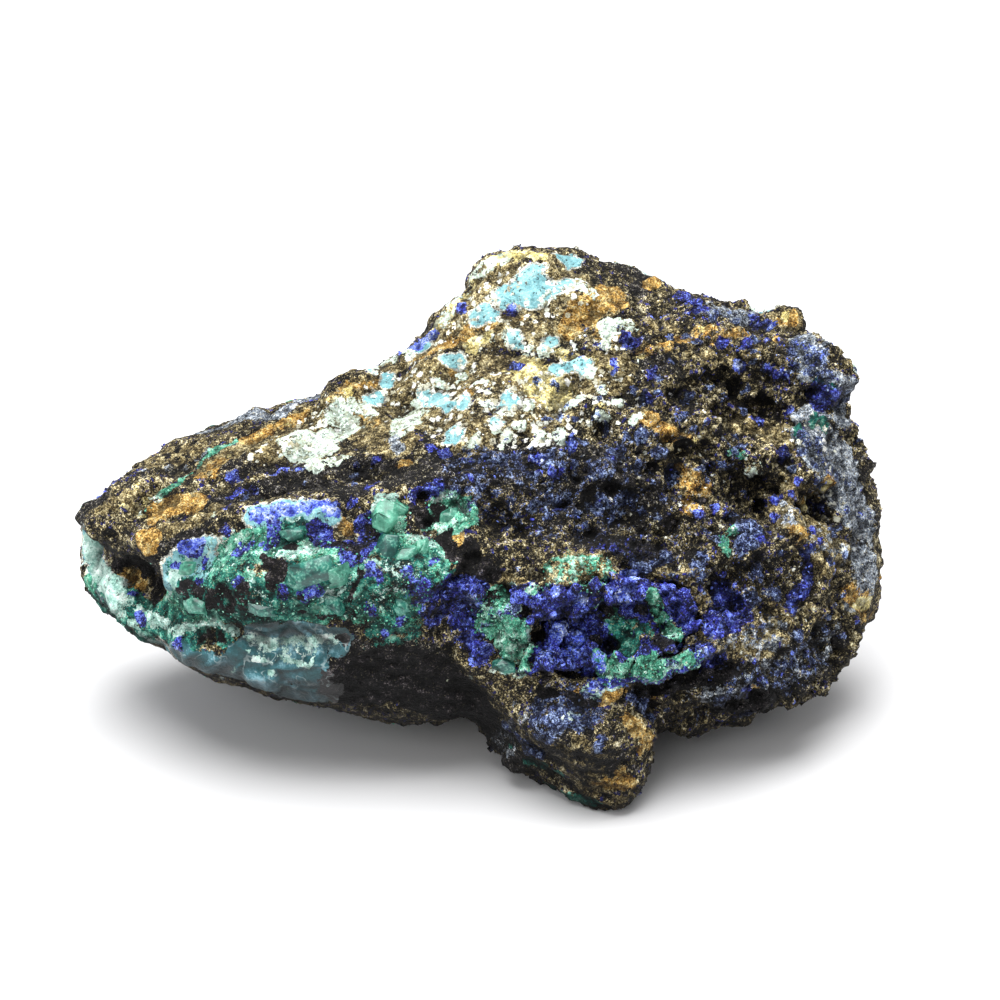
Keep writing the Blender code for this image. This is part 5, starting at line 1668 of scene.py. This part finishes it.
class Templates:
    """The few-faced shapes that grains are copies of, each about 1 across and standing on its middle."""

    @staticmethod
    def _several(kind: str, count: int, seed: Seed, jog: float, start: Start) -> list[Mesh]:
        """Makes a few shapes of one kind.

        Args:
            kind: its name.
            count: how many.
            seed: where the run of chance starts.
            jog: how far each corner is moved.
            start: fills a shape before its corners are moved.
        Returns:
            The shapes.
        """
        draw, made = np.random.default_rng(seed), []
        for index in range(count):
            shape = bmesh.new()
            start(shape, draw, index)
            for point in shape.verts:
                point.co += Vector(draw.uniform(-jog, jog, 3))
            faced(shape)
            made.append(mesh_of(shape, f"{kind}_{index}"))
        return made

    @classmethod
    def crumbs(cls, count: int) -> list[Mesh]:
        """Returns broken blocks: cubes with a corner sliced off and their corners moved."""
        def start(shape: BMesh, draw: Chance, _: int) -> None:
            """Slices a cube."""
            bmesh.ops.create_cube(shape, size=1.0)
            cut = Vector(draw.normal(0.0, 1.0, 3)).normalized()
            sliced(shape, cut * 0.42, cut)
        return cls._several("crumb", count, Seed.CRUMB_SHAPES, 0.13, start)

    @classmethod
    def blades(cls, count: int) -> list[Mesh]:
        """Returns crystals: blades of four or five sides that narrow to an uneven end."""
        def start(shape: BMesh, _: Chance, index: int) -> None:
            """Makes a blade."""
            bmesh.ops.create_cone(shape, cap_ends=True, segments=4 + index % 2, radius1=0.5,
                                  radius2=0.2 + 0.1 * (index % 3), depth=1.0)
        return cls._several("blade", count, Seed.BLADE_SHAPES, 0.09, start)

    @classmethod
    def beads(cls, count: int) -> list[Mesh]:
        """Returns small uneven balls."""
        def start(shape: BMesh, _: Chance, __: int) -> None:
            """Makes a ball."""
            bmesh.ops.create_icosphere(shape, subdivisions=1, radius=0.5)
        return cls._several("bead", count, Seed.BEAD_SHAPES, 0.09, start)


@dataclass
class GrainField:
    """All the grains: gossan crumbs, azurite blades, malachite beads and pale flakes."""

    ground: Ground
    crumbs: int = 12000
    blades: int = 12000
    beads: int = 4500
    flakes: int = 700
    least: float = 1e-6

    def build(self, rock: Material) -> list[Object]:
        """Makes and dresses the crops.

        Args:
            rock: the rock's finish, which the crumbs share.
        Returns:
            The pieces.
        """
        return [self._gossan(rock), self._azurite(), self._malachite(), self._chalk()]

    def _gossan(self, finish: Material) -> Object:
        """Returns the crumbs of gossan, which are speckled as the rock is."""
        masks = self.ground.masks
        smooth = unit(masks[Layer.WAXY] * 1.2 + masks[Layer.TURQUOISE] + 0.6 * masks[Layer.CRUST]
                      + 0.7 * masks[Layer.DEEP])
        clumps = eased(Lattice(Seed.CLUMPS).rough(self.ground.corners.mean(axis=1), 5.0, 3), -0.35, 0.45)
        density = (0.25 + masks[Layer.ROUGH] + 0.3 * masks[Layer.TAN]) * (0.15 + clumps)
        density *= (1.0 - smooth) * (1.0 - 0.8 * unit(masks[Layer.AZURITE]))
        density *= 1.0 - 0.75 * unit(masks[Layer.SLATE_AND_SHEEN])
        crop = Sowing("gossan_crumbs", self.crumbs, (0.25, 1.0), Templates.crumbs(6), Seed.CRUMBS,
                      lean=0.8, sunk=0.3)
        seeds = crop.sow(self.ground, density)
        values = {layer.value: unit(each) for layer, each in seeds.masks.items()}
        # The crumbs carry the same painted shade on undersides and towards the bottom on the right.
        values["painted_shade"] = painted_shade_below(seeds.points, seeds.normals)
        values["lot"] = np.random.default_rng(Seed.CRUMB_LOTS).random(self.crumbs)
        return crop.dress(crop.plant(seeds, values, (0.9, 0.9, 0.7)), finish)

    def _azurite(self) -> Object:
        """Returns the blades of azurite."""
        masks = self.ground.masks
        density = masks[Layer.AZURITE] ** 1.5 + 0.4 * masks[Layer.BRIGHT] + 0.45 * masks[Layer.INDIGO] ** 1.5
        crop = Sowing("azurite_blades", self.blades, (0.26, 0.95), Templates.blades(6), Seed.BLADES,
                      sunk=0.12, slot_name="azurite")
        seeds = crop.sow(self.ground, density)
        draw = np.random.default_rng(Seed.BLADE_TINTS)
        tints = PALETTES[Layer.AZURITE].sample(draw.beta(1.5, 1.2, self.blades))
        dusky = draw.random(self.blades) < seeds.masks[Layer.INDIGO] - 0.6 * seeds.masks[Layer.AZURITE]
        tints[dusky] = PALETTES[Layer.INDIGO].sample(draw.beta(1.4, 1.6, int(dusky.sum())))
        lit = draw.random(self.blades) < seeds.masks[Layer.BRIGHT]
        tints[lit] = PALETTES[Layer.BRIGHT].sample(draw.beta(1.5, 1.7, int(lit.sum())))
        dark = eased(Lattice(Seed.BLADE_SHADE).rough(seeds.points, 3.4, 3), -0.3, 0.35) * 1.1 + 0.16
        # Painted shade on the blades: darker in the painted pits and on undersides.
        shade = (1.0 - 0.85 * seeds.masks[Layer.SHADE_AND_BLACK]) * (1.0 - 0.8 * painted_shade_below(seeds.points, seeds.normals))
        tints *= np.clip(dark * shade, 0.0, 1.25)[:, None]
        piece = crop.plant(seeds, {"tint": tints}, (0.75, 0.45, 0.95))
        return crop.dress(piece, GrainFinish("azurite_blade", 0.22, 0.2).build())

    def _malachite(self) -> Object:
        """Returns the beads of malachite."""
        masks = self.ground.masks
        density = masks[Layer.MINT] ** 1.5 * (1.0 - masks[Layer.WAXY]) + self.least
        density *= (1.0 - 0.5 * masks[Layer.DEEP]) * (1.0 - 0.95 * masks[Layer.SHADE_AND_BLACK])
        crop = Sowing("malachite_beads", self.beads, (0.18, 0.55), Templates.beads(4), Seed.BEADS, sunk=0.15)
        seeds = crop.sow(self.ground, density)
        draw = np.random.default_rng(Seed.BEAD_TINTS)
        tints = PALETTES[Layer.MINT].sample(draw.beta(1.5, 1.4, self.beads))
        deep = draw.random(self.beads) < seeds.masks[Layer.DEEP] * 0.6
        tints[deep] = PALETTES[Layer.DEEP].sample(draw.beta(1.5, 1.4, int(deep.sum())))
        piece = crop.plant(seeds, {"tint": tints}, (1.0, 0.9, 0.7))
        return crop.dress(piece, GrainFinish("malachite_bead", 0.5, 0.3).build())

    def _chalk(self) -> Object:
        """Returns the pale flakes."""
        masks = self.ground.masks
        density = (masks[Layer.CRUST] ** 3 + self.least) * (1.0 - masks[Layer.WAXY])
        crop = Sowing("chalk_flakes", self.flakes, (0.2, 0.7), Templates.crumbs(5), Seed.FLAKES,
                      lean=0.25, sunk=0.3)
        seeds = crop.sow(self.ground, density)
        chosen = np.random.default_rng(Seed.FLAKE_TINTS).beta(2.6, 1.1, self.flakes)
        piece = crop.plant(seeds, {"tint": PALETTES[Layer.CRUST].sample(chosen)}, (1.3, 1.1, 0.35))
        return crop.dress(piece, GrainFinish("chalk_flake", 0.75, 0.2).build())


@dataclass(frozen=True)
class Plate:
    """A chip of glassy malachite: the point of the picture it lies under, its size, turn and paleness."""

    place: str
    pixel: Pixel
    length: float
    width: float
    turn: float
    pale: float = 0.0


PLATES: tuple[Plate, ...] = tuple(Plate(*row) for row in (
    ("front", (312, 573), 6.4, 3.6, 18.0), ("front right", (340, 578), 4.2, 3.4, 100.0, 0.5),
    ("front left", (296, 584), 3.6, 2.2, 150.0), ("upper", (294, 536), 4.0, 2.2, 10.0, 0.1),
    ("brow", (386, 516), 4.6, 3.8, 60.0, 0.9), ("brow right", (399, 508), 2.6, 2.0, 120.0, 0.8),
    ("below the bend", (388, 547), 4.4, 3.4, 70.0), ("right", (408, 552), 3.6, 3.0, 15.0, 0.5),
    ("far right", (423, 548), 3.0, 1.8, 80.0, 0.8), ("shell", (334, 604), 4.2, 2.4, 130.0),
    ("left", (196, 606), 4.4, 2.8, 5.0, 0.3), ("low", (262, 610), 4.4, 2.2, 170.0),
    ("cluster", (448, 516), 3.0, 2.4, 40.0, 0.6), ("right flank", (402, 606), 3.4, 2.4, 110.0),
    ("pale mass", (188, 568), 3.6, 2.6, 30.0, 0.8), ("dome's foot", (503, 665), 3.4, 2.2, 10.0),
))


@dataclass
class MalachitePlates:
    """The glassy chips in the green front."""

    view: Viewpoint
    surface: BVHTree
    thickness: float = 1.5
    lift: float = 0.08
    rims: int = 6
    jitter: float = 0.35
    slant: float = 0.8
    rim_away: Span = (0.34, 0.46)
    worn: float = 0.05
    tilt: float = 16.0

    def build(self) -> Object:
        """Makes and dresses the chips as one piece.

        Returns:
            The piece.
        """
        draw = np.random.default_rng(Seed.CHIPS)
        shape, paleness = bmesh.new(), []
        for plate in PLATES:
            point, normal, _, _ = self.surface.ray_cast(self.view.place, self.view.ray(plate.pixel))
            if point is not None:
                self._add(shape, plate, point, normal, draw)
                paleness += [plate.pale] * (len(shape.verts) - len(paleness))
        mesh = mesh_of(shape, "malachite_plates")
        write_values(mesh, "pale", np.array(paleness))
        mesh.shade_smooth()
        piece = linked("malachite_plates", mesh)
        mesh.materials.append(PlateFinish().build())
        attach(piece, "root")
        return piece

    def _add(self, shape: BMesh, plate: Plate, point: Vector, normal: Vector, draw: Chance) -> None:
        """Adds one chip: a flat block whose rim is broken by slanting cuts and then worn.

        Args:
            shape: what it is added to.
            plate: its size and turn.
            point: where it lies.
            normal: the way out of the surface there.
            draw: the chance to draw with.
        """
        chip = bmesh.new()
        bmesh.ops.create_cube(chip, size=1.0)
        for index in range(self.rims):
            angle = 2 * pi * (index + draw.uniform(-self.jitter, self.jitter)) / self.rims
            cut = Vector((cos(angle), sin(angle), draw.uniform(0.0, self.slant))).normalized()
            sliced(chip, cut * draw.uniform(*self.rim_away), cut)
        bmesh.ops.bevel(chip, geom=chip.edges[:], affect="EDGES", offset=self.worn, segments=2, profile=0.5,
                        material=-1)
        faced(chip)
        tilt = Matrix.Rotation(radians(draw.uniform(-self.tilt, self.tilt)), 4, "X")
        frame = normal.to_track_quat("Z", "Y").to_matrix().to_4x4()
        size = Matrix.Diagonal((plate.length, plate.width, self.thickness, 1.0))
        place = Matrix.Translation((point + normal * self.lift) * MM) @ frame @ tilt
        turned = Matrix.Rotation(radians(plate.turn), 4, "Z") @ size @ Matrix.Scale(MM, 4)
        bmesh.ops.transform(chip, matrix=place @ turned, verts=chip.verts)
        mesh = mesh_of(chip, "chip")
        shape.from_mesh(mesh)
        bpy.data.meshes.remove(mesh)


@dataclass(frozen=True)
class Softbox:
    """A flat light: its power, size and place in millimetres."""

    name: str
    watts: float
    width: float
    depth: float
    place: Triple
    aim: Triple = (0.0, 0.0, 30.0)

    def build(self) -> Object:
        """Returns the light, turned towards the rock."""
        data = bpy.data.lights.new(self.name, "AREA")
        data.shape, data.energy = "RECTANGLE", self.watts
        data.size, data.size_y = self.width * MM, self.depth * MM
        light = linked(self.name, data)
        light.location = Vector(self.place) * MM
        light.rotation_euler = (Vector(self.aim) - Vector(self.place)).to_track_quat("-Z", "Y").to_euler()
        return light


@dataclass
class Studio:
    """A white table under soft light from above."""

    sky: float = 0.44
    table: float = 3.0
    squares: int = 8
    boxes: tuple[Softbox, ...] = (
        Softbox("top_softbox", 10.3, 850.0, 700.0, (-40.0, 40.0, 750.0)),
        Softbox("front_softbox", 1.15, 500.0, 400.0, (-300.0, -620.0, 420.0)),
    )

    def build(self) -> None:
        """Makes the table, the lights and the pale surroundings."""
        shape = bmesh.new()
        bmesh.ops.create_grid(shape, x_segments=self.squares, y_segments=self.squares, size=self.table)
        table = linked("table", mesh_of(shape, "table"))
        table.data.materials.append(TableFinish().build())
        for box in self.boxes:
            box.build()
        world = bpy.data.worlds.new("pale_room")
        world.use_nodes = True
        air = world.node_tree.nodes["Background"].inputs
        air["Color"].default_value, air["Strength"].default_value = (1.0, 1.0, 1.0, 1.0), self.sky
        bpy.context.scene.world = world
        bpy.context.scene.view_settings.view_transform = "Standard"


def surface_of(*nodes: Object) -> BVHTree:
    """Returns the solids' faces as one tree to meet rays with, in millimetres."""
    points, faces = [], []
    for node in nodes:
        start = len(points)
        points += [vertex.co / MM for vertex in node.data.vertices]
        faces += [[start + index for index in face.vertices] for face in node.data.polygons]
    return BVHTree.FromPolygons(points, faces)


def main() -> None:
    """Builds the specimen's looks in order and says what was made."""
    logging.basicConfig(level=logging.INFO, format="%(name)s: %(message)s")
    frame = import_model()
    view = Viewpoint()
    view.build()
    Studio().build()
    rock, crust = frame["nodes"]["matrix_rock"], frame["nodes"]["azurite_crust"]
    form, finish = Form.met(view, surface_of(rock, crust)), RockFinish().build()
    skin, floor = RockSkin().build(rock, form), DruseFloor().build(crust, form)
    painter, relief = Painter(view, surface_of(skin.piece, floor.piece)), Relief()
    for made in (skin, floor):
        made.paint(painter, relief)
        made.dress(finish)
    pieces = GrainField(Ground.of(skin).joined(Ground.of(floor))).build(finish)
    for piece in [*pieces, MalachitePlates(view, surface_of(skin.piece, floor.piece)).build()]:
        LOG.info("%s: %d faces", piece.name, len(piece.data.polygons))


if __name__ == "__main__":
    main()
